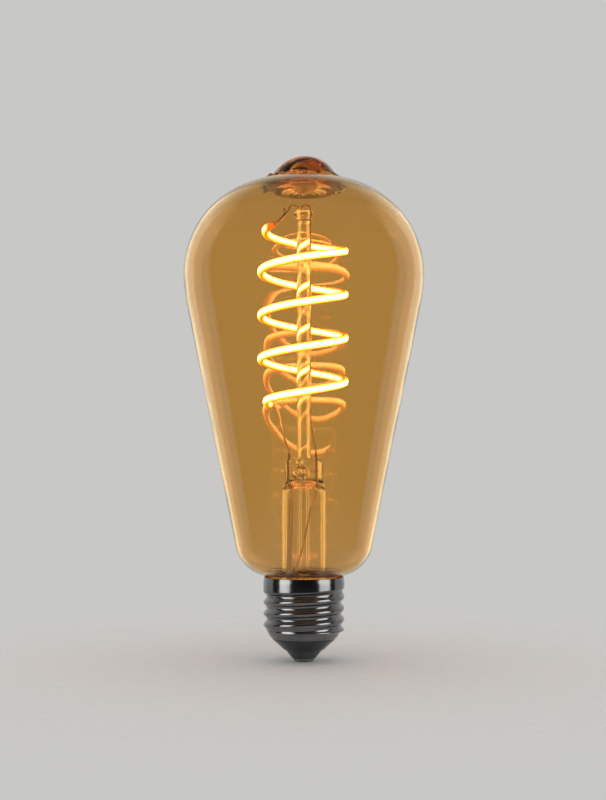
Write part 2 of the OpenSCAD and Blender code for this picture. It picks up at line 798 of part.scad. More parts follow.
// Thickness of the threaded shell at a height
function sheet_at(z) =
    shell_sheet - (shell_sheet - seam_sheet) * (1 - thread_out(z)) - (shell_sheet - foot_sheet) * (1 - thread_in(z));

// Threaded band of the shell: an outer and an inner grid, joined at both ends
module thread_band() {
    n = thread_columns;
    span = thread_top_z - thread_foot_z;
    points = [
        for (layer = [0, 1], i = [0 : thread_rows], j = [0 : n - 1])
            let (z = thread_foot_z + span * i / thread_rows, a = 360 * j / n, r = thread_r(z, a) - layer * sheet_at(z))
                [r * cos(a), r * sin(a), z]
    ];
    size = (thread_rows + 1) * n;
    walls = [
        for (i = [0 : thread_rows - 1], j = [0 : n - 1])
            let (a = i * n + j, b = i * n + (j + 1) % n)
                each [
                    [a, a + n, b], [b, a + n, b + n],
                    [size + a, size + b, size + a + n], [size + b, size + b + n, size + a + n]
                ]
    ];
    ends = [
        for (j = [0 : n - 1])
            let (a = j, b = (j + 1) % n, c = thread_rows * n + j, d = thread_rows * n + (j + 1) % n)
                each [
                    [a, b, size + a], [b, size + b, size + a],
                    [c, size + c, d], [d, size + c, size + d]
                ]
    ];
    polyhedron(points, concat(walls, ends));
}

module screw_shell() {
    color([0.72, 0.72, 0.74]) {
        thread_band();
        translate([0, 0, collar_z])
            difference() {
                cylinder(h = cap_height - collar_z, r = collar_r, $fn = 96);
                translate([0, 0, -1]) cylinder(h = cap_height - collar_z + 2, r = collar_bore_r, $fn = 96);
            }
        rotate_extrude($fn = 96) {
            polygon([
                [band_inner_r, band_top_z], [band_outer_r, band_top_z], [band_outer_r, band_foot_z],
                [shell_foot_r, shell_foot_z], [shell_foot_bore_r, shell_edge_z], [band_inner_r, band_heel_z]
            ]);
        }
    }
}

module basing_cement() {
    color([0.75, 0.72, 0.66]) {
        translate([0, 0, cement_foot_z])
            difference() {
                cylinder(h = cement_top_z - cement_foot_z, r = collar_bore_r, $fn = 96);
                translate([0, 0, -1]) cylinder(h = cement_top_z - cement_foot_z + 2, r = neck_r, $fn = 96);
            }
    }
}

module cap_insulator() {
    color([0.05, 0.05, 0.06]) {
        rotate_extrude($fn = 96) {
            polygon([
                [shank_r, insulator_floor_z], [band_inner_r, insulator_floor_z],
                [band_inner_r, band_heel_z], [shell_foot_bore_r, shell_edge_z],
                [shell_foot_bore_r - insulator_lip / 4, shell_foot_z - insulator_lip],
                [plate_r + insulator_lip * 2, plate_rim_z + insulator_lip],
                [plate_r + wire_clearance, plate_rim_z], [boss_r, plate_rim_z],
                [boss_foot_r, plate_z + plate_sheet], [shank_r, plate_z + plate_sheet]
            ]);
        }
    }
}

module contact_plate() {
    color([0.8, 0.65, 0.35]) {
        rotate_extrude($fn = 96) {
            polygon([
                [shank_r, plate_z], [plate_foot_r, plate_z], [plate_r, plate_rim_z], [boss_r, plate_rim_z],
                [boss_foot_r, plate_z + plate_sheet], [shank_r, plate_z + plate_sheet]
            ]);
        }
    }
}

module contact_rivet() {
    face_r = rivet_face_dia / 2;
    color([0.82, 0.7, 0.42]) {
        rotate_extrude($fn = 64) {
            polygon(concat(
                [[0, 0]],
                arc([face_r, rivet_head * 0.75], rivet_head * 0.75, -90, 0, 5),
                [
                    [face_r + rivet_head * 0.75, rivet_head], [shank_r, rivet_head],
                    [shank_r, rivet_top_z], [lead_r, rivet_top_z], [lead_r, rivet_bore_z], [0, rivet_bore_z]
                ]
            ));
        }
    }
}

module driver_holder() {
    color([0.9, 0.9, 0.88]) {
        rotate_extrude($fn = 96) {
            polygon([
                [board_r - holder_ledge, insulator_floor_z], [holder_r, insulator_floor_z],
                [holder_r, holder_top_z], [board_r, holder_top_z], [board_r, board_z],
                [board_r - holder_ledge, board_z]
            ]);
        }
    }
}

// Places of the capacitor's legs
capacitor_legs = [for (s = [-1, 1]) capacitor_at + [s * capacitor_leg, 0]];

module driver_board() {
    color([0.12, 0.35, 0.2]) {
        difference() {
            translate([0, 0, board_z]) cylinder(h = board_thickness, r = board_r, $fn = 96);
            for (p = [left_hole, right_hole, shell_hole, resistor_hole])
                translate([p[0], p[1], board_z - 1]) cylinder(h = board_thickness + 2, r = hole_r, $fn = 32);
            for (p = capacitor_legs)
                translate([p[0], p[1], board_z - 1]) cylinder(h = board_thickness + 2, r = capacitor_leg_r, $fn = 32);
        }
    }
}

// Flat chip case under the board with a row of bent feet along two sides
module chip_case(at, size, feet) {
    translate([at[0], at[1], board_z - stand_off - size[2]]) {
        translate([-size[0] / 2, -size[1] / 2, 0]) cube(size);
        for (side = [-1, 1], i = [0 : feet - 1])
            translate([side * size[0] / 2, (i - (feet - 1) / 2) * size[1] / feet, size[2] / 2]) {
                translate([0, 0, foot_thickness / 2])
                    cube([2 * foot_reach, foot_width, foot_thickness], center = true);
                translate([side * (foot_reach - foot_thickness / 2), 0, (size[2] / 2 + stand_off) / 2])
                    cube([foot_thickness, foot_width, size[2] / 2 + stand_off], center = true);
            }
    }
}

module bridge_rectifier() {
    color([0.1, 0.1, 0.1]) chip_case(bridge_at, bridge_size, 2);
}

module driver_chip() {
    color([0.12, 0.12, 0.12]) chip_case(chip_at, chip_size, 4);
}

module chip_resistors() {
    color([0.2, 0.2, 0.22])
        for (y = chip_resistor_rows)
            translate([chip_resistor_x, y, board_z - chip_resistor_size[2] / 2])
                cube(chip_resistor_size, center = true);
}

module electrolytic_capacitor() {
    r = capacitor_dia / 2;
    groove = capacitor_groove;
    groove_z = capacitor_groove_z;
    color([0.1, 0.12, 0.2]) {
        translate([capacitor_at[0], capacitor_at[1], board_top_z])
            rotate_extrude($fn = 64) {
                polygon([
                    [0, 0], [r - groove, 0], [r, groove], [r, groove_z - groove], [r - groove, groove_z],
                    [r, groove_z + groove], [r, capacitor_length - groove], [r - groove, capacitor_length],
                    [0, capacitor_length]
                ]);
            }
        for (p = capacitor_legs)
            translate([p[0], p[1], board_z - tail])
                cylinder(h = board_thickness + tail + 0.1, r = capacitor_leg_r, $fn = 32);
    }
}

module fusible_resistor() {
    cap_length = 1.3;
    waist_r = resistor_r - 0.15;
    half = resistor_length / 2;
    color([0.35, 0.5, 0.6]) {
        translate([0, resistor_y, resistor_z])
            rotate([90, 0, 0])
                rotate_extrude($fn = 48) {
                    polygon([
                        [0, -half], [resistor_r - 0.2, -half], [resistor_r, 0.3 - half], [resistor_r, cap_length - half],
                        [waist_r, cap_length + 0.3 - half], [waist_r, half - cap_length - 0.3],
                        [resistor_r, half - cap_length], [resistor_r, half - 0.3], [resistor_r - 0.2, half], [0, half]
                    ]);
                }
    }
}

module resistor_leads() {
    near = resistor_y + resistor_length / 2;
    far = resistor_y - resistor_length / 2;
    color([0.75, 0.72, 0.7]) {
        skin(rings_along(
            smooth([
                [0, 0, rivet_bore_z], [0, 0, rivet_top_z - 0.2], [0, -0.2, resistor_z - 0.25],
                [0, near / 2, resistor_z], [0, near, resistor_z]
            ], wire_steps),
            round_section(lead_r - wire_clearance, wire_sides), [1, 0, 0]
        ));
        skin(rings_along(
            smooth([
                [0, far, resistor_z], [0, far - 0.3, resistor_z], [0, resistor_hole[1], resistor_z + 0.6],
                [0, resistor_hole[1], board_z - 0.3], [0, resistor_hole[1], board_top_z + tail]
            ], wire_steps),
            round_section(lead_r - wire_clearance, wire_sides), [1, 0, 0]
        ));
    }
}

module shell_wire() {
    y = shell_wire_path_r;
    end_y = collar_bore_r - shell_wire_r;
    color([0.7, 0.68, 0.66]) {
        skin(rings_along(
            smooth([
                [0, shell_hole[1], board_z - tail], [0, shell_hole[1], board_top_z],
                [0, shell_hole[1] + 0.1, holder_top_z + 0.2], [0, holder_r - 1.2, holder_top_z + 0.9],
                [0, y - 0.1, holder_top_z + 1.6], [0, y, neck_foot_z + 0.6], [0, y, collar_z - 2],
                [0, y + 0.1, collar_z - 1], [0, end_y - 0.2, cement_foot_z - 1],
                [0, end_y, cement_foot_z - 0.5], [0, end_y, cement_foot_z]
            ], wire_steps),
            round_section(shell_wire_r, wire_sides), [1, 0, 0]
        ));
    }
}

// Cone of solder round a wire, on the underside or on the top of the board
module solder_cone(at, wire_r, up) {
    tip_r = wire_r + 0.15;
    base_z = up ? board_top_z : board_z - tail;
    translate([at[0], at[1], base_z])
        difference() {
            cylinder(h = tail, r1 = up ? joint_r : tip_r, r2 = up ? tip_r : joint_r, $fn = 32);
            translate([0, 0, -1]) cylinder(h = tail + 2, r = wire_r, $fn = 32);
        }
}

module solder_joints() {
    color([0.78, 0.78, 0.8]) {
        for (p = [left_hole, right_hole]) solder_cone(p, lead_r, false);
        for (p = capacitor_legs) solder_cone(p, capacitor_leg_r, false);
        solder_cone(shell_hole, shell_wire_r, false);
        solder_cone(resistor_hole, lead_r, true);
    }
}

glass_envelope();
stem_flare();
exhaust_tube();
support_rod();
seal_wires();
long_lead_wire();
short_lead_wire();
outer_lead_left();
outer_lead_right();
lead_sleeve();
filament_strip();
filament_inner_coating();
filament_outer_coating();
led_chips();
filament_top_terminal();
filament_bottom_terminal();
screw_shell();
basing_cement();
cap_insulator();
contact_plate();
contact_rivet();
driver_holder();
driver_board();
bridge_rectifier();
driver_chip();
chip_resistors();
electrolytic_capacitor();
fusible_resistor();
resistor_leads();
shell_wire();
solder_joints();
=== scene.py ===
"""Looks of the filament lamp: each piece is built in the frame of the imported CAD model."""

import math

import bpy
import numpy as np
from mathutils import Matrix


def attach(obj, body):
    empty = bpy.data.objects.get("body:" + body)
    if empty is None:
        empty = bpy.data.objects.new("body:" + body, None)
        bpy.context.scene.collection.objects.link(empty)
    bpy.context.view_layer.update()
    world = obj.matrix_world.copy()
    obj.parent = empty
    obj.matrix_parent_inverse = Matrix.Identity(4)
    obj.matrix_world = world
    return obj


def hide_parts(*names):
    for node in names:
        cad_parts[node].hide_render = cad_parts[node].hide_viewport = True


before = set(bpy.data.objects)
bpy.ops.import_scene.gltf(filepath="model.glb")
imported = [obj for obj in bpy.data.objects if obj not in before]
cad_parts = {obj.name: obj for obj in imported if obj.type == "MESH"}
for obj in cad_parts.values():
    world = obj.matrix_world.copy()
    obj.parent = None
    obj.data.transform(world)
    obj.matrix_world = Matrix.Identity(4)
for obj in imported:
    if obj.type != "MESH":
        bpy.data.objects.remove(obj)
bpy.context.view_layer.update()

MM = 0.001

# Glass envelope; from here to the cap lengths are in millimetres and angles in degrees
ENVELOPE_R = 38.68
BELLY_Z = 124.7
SHOULDER_ARC = 30
BELLY_ARC = 50
CONE_ANGLE = 11.4
HEEL_ARC = 12
HEEL_Z = 27.4
WALL = 1
NECK_R = 11
NECK_FOOT_Z = 17
NECK_FILLET = 1.2
DOME_R = 11.1
DOME_HEIGHT = 8
BEAD_R = 13.5
BEAD_RISE = 0.4
LENS_R = 10
LENS_DROP = 2.3
LENS_CROWN = 0.7
LENS_RIM = 0.8
LENS_FLARE = 3.4
LENS_RING_PITCH = 1.9
LENS_RING_DEPTH = 0.15
FOLD_R = 12.7
FOLD_SPREAD = 1.25
COVE_R = 11.9
COVE_SPREAD = 1.7
DROP_LEAN = 0.5

# Glass stem
FLARE_R = 7.2
FLARE_WALL = 1.1
FLARE_BEND_Z = 23.5
FLARE_ARC = 6
FLARE_TOP_Z = 54.5
FLARE_ROOF_Z = 57.5
PRESS_TOP_Z = 65.7
PRESS_HALF_WIDTH = 6.2
PRESS_HALF_THICKNESS = 2.5
PRESS_BLEND = 5.2
PRESS_ROUND = 2.4
PRESS_RIB_PITCH = 1.15
PRESS_RIB_DEPTH = 0.15
EXHAUST_R = 2.1
EXHAUST_BORE_R = 1.1
EXHAUST_TIP_Z = 25
VENT_R = 0.85
VENT_X = -0.6
VENT_Z = 60.9
ROD_R = 2.25
ROD_TOP_Z = 145.8
BUTTON_R = 3.25
BUTTON_HEIGHT = 3.4
ROD_FOOT_R = 2.4
ROD_NECK_R = 2
LEAD_SIDE = -1.75

# Filament coil
COIL_R = 13.5
COIL_PITCH = 14
COIL_TURNS = 4.15
COIL_TOP_Z = 140
COIL_TILT = 1.3
COIL_OFFSET = -0.35
COIL_START = 214
END_TUCK = 2.6
END_DROOP = 0.5
TUCK_SPAN = 0.3
END_ROUND = 0.013
STRIP_HALF = 0.15
FILAMENT_HALF_HEIGHT = 1.3
COATING_DEPTH = 0.9
CHIP_SIZE = (0.9, 0.15, 0.5)
GROOVE_HALF = 0.55
GROOVE_DEPTH = 0.25
CHIPS_A_TURN = 24
RINGS_A_TURN = 96
GLOW_LIT = 24
GLOW_UNLIT = 1.6
CRACK_HALF = 0.0014
DASHES_A_TURN = 36
DASH_SHARE = 0.6

# Leads
LEAD_R = 0.3
SEAL_R = 0.35
SEAL_FOOT_Z = 55.5
SEAL_TOP_Z = 67
LEFT_SEAL_X = -4.8
RIGHT_SEAL_X = 3.9
SEAL_BORE_R = 0.45
TAB_WIDTH = 0.9
TAB_THICKNESS = 0.25
SLEEVE_R = 0.85
SLEEVE_BORE_R = 0.4
SLEEVE_MARGIN = 0.06

# Cap
COLLAR_R = 13.1
COLLAR_Z = 22.6
CAP_TOP_Z = 27.2
THREAD_MEAN_R = 12.55
THREAD_DEPTH = 1
THREAD_PITCH = 3.629
CREST_Z = 20.85
THREAD_FOOT_Z = 9
THREAD_TOP_Z = 22.9
THREAD_FADE = 1.3
SHELL_WAIST_R = 11.5
SHELL_FOOT_R = 10.6
SHELL_FOOT_Z = 7.6
SHELL_SHEET = 0.3
CONE_TOP_Z = 8.75
CLIMB = 1.1
CLIMB_FOOT_Z = 21.2
CLIMB_TOP_Z = 26
PLATE_R = 5.8
PLATE_RIM_Z = 3.5
PLATE_FOOT_R = 3.9
PLATE_Z = 0.9
RIVET_FACE_R = 2.5
SHANK_R = 1.25
RIVET_TOP_Z = 9.9
INSULATOR_FLOOR_Z = 9.5

# Edges sharper than this stay sharp, in degrees
SHARP_EDGE = 38
SHARP_CUT = 42

# Studio, in metres but for the card, which is in millimetres
PALE = (0.58, 0.577, 0.565)
FLOOR_FADE = (0.02, 0.21)
CARD_R = 1200
CARD_FOOT_Z = -1000
CARD_TOP_Z = 1700
CARD_COLUMNS = 40
SOFTBOX_Z = 0.3
SOFTBOX_DISTANCE = 0.8
CAP_AIM_Z = 0.08
BOUNCES = 32

# Camera; the picture is 606 by 800 pixels
SENSOR = 36
PICTURE_HEIGHT = 800
FOCAL_PIXELS = 1333
HORIZON_BELOW_MIDDLE = 75
AXIS_RIGHT_OF_MIDDLE = 0.9
CAMERA_DISTANCE = 0.43
CAMERA_Z = 0.06


# Geometry helpers

def unit(v):
    return v / np.linalg.norm(v)


def ramp(x):
    """Smooth step from 0 to 1."""
    c = min(1.0, max(0.0, x))
    return c * c * (3 - 2 * c)


def arc(centre, radius, start, end, steps):
    """Points on an arc as (radius, height); the angles are in degrees."""
    angles = np.radians(np.linspace(start, end, steps + 1))
    return [(centre[0] + radius * math.cos(a), centre[1] + radius * math.sin(a)) for a in angles]


def line(start, end, steps):
    """Points between two points, both left out."""
    return [tuple(p) for p in np.linspace(start, end, steps + 1)[1:-1]]


def ring(radius, height, sides):
    """Ring of points round the lamp axis, or a pole where the radius is zero."""
    if radius < 1e-6:
        return np.array([[0, 0, height]])
    a = np.arange(sides) * 2 * math.pi / sides
    return np.stack([radius * np.cos(a), radius * np.sin(a), np.full(sides, float(height))], axis=1)


def loft(rings, closed=False):
    """Points and faces of a skin over rings of points; a ring of one point is a pole."""
    starts = np.cumsum([0] + [len(r) for r in rings])
    pairs = list(zip(range(len(rings) - 1), range(1, len(rings))))
    if closed:
        pairs.append((len(rings) - 1, 0))
    faces = []
    for low, high in pairs:
        a, b = int(starts[low]), int(starts[high])
        poles = (len(rings[low]) == 1, len(rings[high]) == 1)
        n = max(len(rings[low]), len(rings[high]))
        if all(poles):
            continue
        for j in range(n):
            k = (j + 1) % n
            if poles[0]:
                faces.append((a, b + k, b + j))
            elif poles[1]:
                faces.append((a + j, a + k, b))
            else:
                faces.append((a + j, a + k, b + k, b + j))
    return np.concatenate(rings), faces


def turned(outline, sides, closed=False):
    """Points and faces of an outline of (radius, height) turned about the lamp axis."""
    return loft([ring(r, z, sides) for r, z in outline], closed)


def heading(route, i):
    """Direction of a route at one of its points, as in the CAD source."""
    last = len(route) - 1
    if i <= 1:
        return unit(route[1] - route[0])
    if i >= last - 1:
        return unit(route[last] - route[last - 1])
    return unit(route[i + 1] - route[i - 1])


def bend(a, b, da, db, t):
    """Point of a smooth curve from a to b that leaves along da and arrives along db."""
    reach = np.linalg.norm(b - a)
    return (
        (2 * t**3 - 3 * t**2 + 1) * a + (3 * t**2 - 2 * t**3) * b
        + reach * ((t**3 - 2 * t**2 + t) * da + (t**3 - t**2) * db)
    )


def smooth(route, steps=10):
    """Points of a smooth curve through a given route."""
    route = [np.array(p, float) for p in route]
    path = [route[0]]
    for i in range(1, len(route) - 2):
        ends = heading(route, i), heading(route, i + 1)
        path += [bend(route[i], route[i + 1], *ends, j / steps) for j in range(steps)]
    return path + route[-2:]


def sweep(path, section, side):
    """Rings of a section that follows a path; side is a direction that the path never takes."""
    rings = []
    for i, point in enumerate(path):
        t = unit(path[min(len(path) - 1, i + 1)] - path[max(0, i - 1)])
        u = unit(np.cross(side, t))
        v = np.cross(t, u)
        rings.append(np.array([point + x * u + y * v for x, y in section]))
    return rings


def rounded(rings, bulge):
    """The rings of a swept piece with both ends closed by a low dome."""
    def end(last, before):
        centre = last.mean(axis=0)
        out = unit(centre - before.mean(axis=0))
        return [centre + 0.8 * (last - centre) + 0.6 * bulge * out, (centre + bulge * out)[None, :]]

    return end(rings[0], rings[1])[::-1] + rings + end(rings[-1], rings[-2])


def round_section(radius, sides=20):
    return [(radius * math.cos(a), radius * math.sin(a)) for a in np.arange(sides) * 2 * math.pi / sides]


def flat_section(width, thickness):
    """Rectangle with eased corners."""
    x, y, e = thickness / 2, width / 2, 0.05
    corners = [(x, y), (-x, y), (-x, -y), (x, -y)]
    points = []
    for cx, cy in corners:
        sx, sy = math.copysign(e, cx), math.copysign(e, cy)
        near = [(cx, cy - sy), (cx - sx, cy)]
        points += near if cx * cy > 0 else near[::-1]
    return points


def wire(route, radius, side=(0, 1, 0)):
    return loft(rounded(sweep(smooth(route), round_section(radius), side), radius * 0.4))


def blob(centre, radii, sides=24, rows=14):
    """Lumpy drop of metal or solder."""
    rings = []
    for phi in np.linspace(-90, 90, rows + 1):
        r = math.cos(math.radians(phi))
        flat = ring(r if r > 1e-6 else 0, math.sin(math.radians(phi)), sides)
        lumps = 1 + 0.07 * np.sin(3 * flat[:, 0] + 2 * flat[:, 2]) * np.cos(4 * flat[:, 1])
        rings.append(np.array(centre) + flat * lumps[:, None] * np.array(radii))
    return loft(rings)


def build(name, parts, material, nodes, slot, **attributes):
    """Piece that rides the lamp and stands for CAD nodes; parts are points in mm and faces."""
    points, faces, base = [], [], 0
    for part_points, part_faces in parts:
        points.append(np.asarray(part_points, float) * MM)
        faces += [tuple(base + i for i in face) for face in part_faces]
        base += len(part_points)
    mesh = bpy.data.meshes.new(name)
    mesh.from_pydata(np.concatenate(points).tolist(), [], faces)
    mesh.shade_smooth()
    mesh.set_sharp_from_angle(angle=math.radians(SHARP_EDGE))
    for key, values in attributes.items():
        layer = mesh.attributes.new(key, "FLOAT", "POINT")
        layer.data.foreach_set("value", np.asarray(values, np.float32))
    mesh.materials.append(material)
    piece = bpy.data.objects.new(name, mesh)
    bpy.context.collection.objects.link(piece)
    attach(piece, "root")
    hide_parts(*nodes)
    return piece


# Material helpers

class Nodes:
    """Short ways to add nodes to a tree."""

    def __init__(self, tree):
        self.tree = tree

    def node(self, kind, **inputs):
        made = self.tree.nodes.new(kind)
        for key, value in inputs.items():
            socket = made.inputs[key.replace("_", " ")]
            if isinstance(value, bpy.types.NodeSocket):
                self.tree.links.new(value, socket)
            else:
                socket.default_value = value
        return made

    def math(self, operation, a, b=0.0):
        made = self.tree.nodes.new("ShaderNodeMath")
        made.operation = operation
        for socket, value in zip(made.inputs, (a, b)):
            if isinstance(value, bpy.types.NodeSocket):
                self.tree.links.new(value, socket)
            else:
                socket.default_value = value
        return made.outputs[0]

    def colours(self, source, stops):
        """Colour ramp over (position, colour) stops."""
        made = self.node("ShaderNodeValToRGB", Fac=source)
        elements = made.color_ramp.elements
        while len(elements) < len(stops):
            elements.new(0.5)
        for element, (position, colour) in zip(elements, stops):
            element.position = position
            element.color = (*colour, 1)
        return made.outputs["Color"]

    def span(self, source, low, high, start=0.0, end=1.0):
        """The source from start to end spread over low to high."""
        limits = {"From_Min": start, "From_Max": end, "To_Min": low, "To_Max": high}
        return self.node("ShaderNodeMapRange", Value=source, **limits).outputs[0]

    def mix(self, factor, first, second):
        """Shader between two shaders."""
        made = self.node("ShaderNodeMixShader", Fac=factor)
        self.tree.links.new(first, made.inputs[1])
        self.tree.links.new(second, made.inputs[2])
        return made.outputs[0]

    def ray(self, kind):
        return self.node("ShaderNodeLightPath").outputs[kind]


class Surface(Nodes):
    """A Principled material and the few nodes that shape it."""

    def __init__(self, name, **values):
        self.material = bpy.data.materials.new(name)
        self.material.use_nodes = True
        super().__init__(self.material.node_tree)
        self.shader = self.tree.nodes["Principled BSDF"]
        self.output = self.tree.nodes["Material Output"]
        self.place = self.node("ShaderNodeTexCoord").outputs["Object"]
        for key, value in values.items():
            self.shader.inputs[key.replace("_", " ")].default_value = value

    def noise(self, size, detail=3.0, stretch=(1, 1, 1)):
        """Noise whose grains are about size metres across, squeezed along each axis."""
        scaled = self.node("ShaderNodeMapping", Vector=self.place, Scale=stretch)
        grain = self.node("ShaderNodeTexNoise", Vector=scaled.outputs[0], Scale=1 / size, Detail=detail)
        return grain.outputs["Fac"]

    def attribute(self, name):
        made = self.tree.nodes.new("ShaderNodeAttribute")
        made.attribute_name = name
        return made.outputs["Fac"]

    def drive(self, **sources):
        for key, source in sources.items():
            self.tree.links.new(source, self.shader.inputs[key.replace("_", " ")])

    def bump(self, source, depth):
        """Relief of the given depth in metres."""
        made = self.node("ShaderNodeBump", Height=source, Distance=depth, Strength=1.0)
        self.drive(Normal=made.outputs[0])


def glass(name, tint, ior, absorption, density, reflectance, ripple_size, ripple_depth):
    """Blown glass that lets lamp light through, tinted at its faces and through its thickness."""
    s = Surface(
        name, Base_Color=(*tint, 1), Roughness=0.0, IOR=ior,
        Transmission_Weight=1.0, Specular_IOR_Level=reflectance,
    )
    s.bump(s.noise(ripple_size, 2.0, (1, 1, 0.6)), ripple_depth)
    shadow_tint = [math.sqrt(c) for c in tint]
    through = s.node("ShaderNodeBsdfTransparent", Color=(*shadow_tint, 1)).outputs[0]
    surface = s.mix(s.ray("Is Shadow Ray"), s.shader.outputs[0], through)
    s.tree.links.new(surface, s.output.inputs["Surface"])
    if density:
        volume = s.node("ShaderNodeVolumeAbsorption", Color=(*absorption, 1), Density=density)
        s.tree.links.new(volume.outputs[0], s.output.inputs["Volume"])
    return s.material


def silicone(name):
    """Lit phosphor silicone: white-hot along its middle, amber at its edges and unlit ends."""
    s = Surface(name, Base_Color=(0.95, 0.5, 0.1, 1), Roughness=0.35, IOR=1.41)
    across = s.attribute("across")
    turn = s.attribute("turn")
    inner = s.attribute("inner")
    edge = s.math("POWER", s.math("ABSOLUTE", across), 2.2)
    uneven = s.math("MULTIPLY", s.math("SUBTRACT", s.noise(0.0035, 2.0), 0.5), 0.2)
    lit_start = s.span(turn, 0.0, 1.0, 0.025, 0.075)
    lit_end = s.span(turn, 0.0, 1.0, COIL_TURNS - 0.012, COIL_TURNS - 0.035)
    lit = s.math("MULTIPLY", lit_start, lit_end)
    cool = s.math("ADD", s.math("ADD", edge, uneven), s.span(lit, 0.5, 0.0, 0.0, 0.5))
    # Hairline cracks, one in each turn of each face, and the dashes of the strip's copper edge
    spot = s.math("FRACT", s.math("ADD", turn, s.span(inner, 0.623, 0.303)))
    crack = s.math("LESS_THAN", s.math("ABSOLUTE", s.math("SUBTRACT", spot, 0.5)), CRACK_HALF)
    dash = s.math("LESS_THAN", s.math("FRACT", s.math("MULTIPLY", turn, DASHES_A_TURN)), DASH_SHARE)
    rim = s.math("GREATER_THAN", across, 0.6)
    dark = s.math("MAXIMUM", crack, s.math("MULTIPLY", s.math("MULTIPLY", dash, rim), inner))
    colour = s.colours(cool, [
        (0.0, (1.0, 0.5, 0.32)), (0.2, (1.0, 0.48, 0.2)), (0.35, (1.0, 0.36, 0.05)),
        (0.5, (1.0, 0.27, 0.022)), (0.7, (1.0, 0.19, 0.01)), (1.0, (1.0, 0.12, 0.005)),
    ])
    glow = s.colours(cool, [
        (0.0, (1.0, 1.0, 1.0)), (0.2, (0.8, 0.8, 0.8)), (0.35, (0.6, 0.6, 0.6)),
        (0.5, (0.45, 0.45, 0.45)), (0.7, (0.27, 0.27, 0.27)), (1.0, (0.15, 0.15, 0.15)),
    ])
    strength = s.math("MULTIPLY", glow, s.span(lit, GLOW_UNLIT, GLOW_LIT))
    strength = s.math("MULTIPLY", strength, s.span(inner, 1.0, 0.55))
    strength = s.math("MULTIPLY", strength, s.span(dark, 1.0, 0.06))
    s.drive(Emission_Color=colour, Emission_Strength=strength)
    s.bump(s.noise(0.0012), 0.00005)
    return s.material


def metal(name, dark, light, roughness, grain, stretch=(1, 1, 1), depth=0.00001):
    """Bare metal with fine drawing marks and faint tarnish."""
    s = Surface(name, Metallic=1.0)
    tarnish = s.noise(grain * 12, 4.0)
    marks = s.noise(grain, 4.0, stretch)
    s.drive(
        Base_Color=s.colours(tarnish, [(0.3, dark), (0.7, light)]),
        Roughness=s.span(marks, roughness * 0.6, roughness * 1.5),
    )
    s.bump(marks, depth)
    return s.material


def plastic(name, dark, light, roughness, grain, depth=0.00003, **values):
    """Moulded or cast material with a fine grain."""
    s = Surface(name, **values)
    marks = s.noise(grain, 5.0)
    s.drive(
        Base_Color=s.colours(marks, [(0.35, dark), (0.65, light)]),
        Roughness=s.span(marks, roughness * 0.8, roughness * 1.25),
    )
    s.bump(marks, depth)
    return s.material


def laminate(name):
    """Green circuit board with the faint weave of its glass cloth."""
    s = Surface(name, Roughness=0.35)
    weave = s.node("ShaderNodeTexChecker", Vector=s.place, Scale=2600.0).outputs["Fac"]
    blend = s.math("ADD", s.math("MULTIPLY", weave, 0.35), s.math("MULTIPLY", s.noise(0.0009), 0.65))
    s.drive(Base_Color=s.colours(blend, [(0.2, (0.02, 0.11, 0.05)), (0.9, (0.06, 0.22, 0.1))]))
    s.bump(blend, 0.00003)
    return s.material


def sleeve_cloth(name):
    """Woven glass-fibre sleeve."""
    s = Surface(name, Roughness=0.6, Sheen_Weight=0.6)
    weave = s.node("ShaderNodeTexWave", Vector=s.place, Scale=420.0, Distortion=1.5, Detail=2.0)
    threads = weave.outputs["Fac"]
    s.drive(Base_Color=s.colours(threads, [(0.1, (0.55, 0.49, 0.38)), (0.9, (0.88, 0.82, 0.7))]))
    s.bump(threads, 0.00006)
    return s.material


# Glass pieces

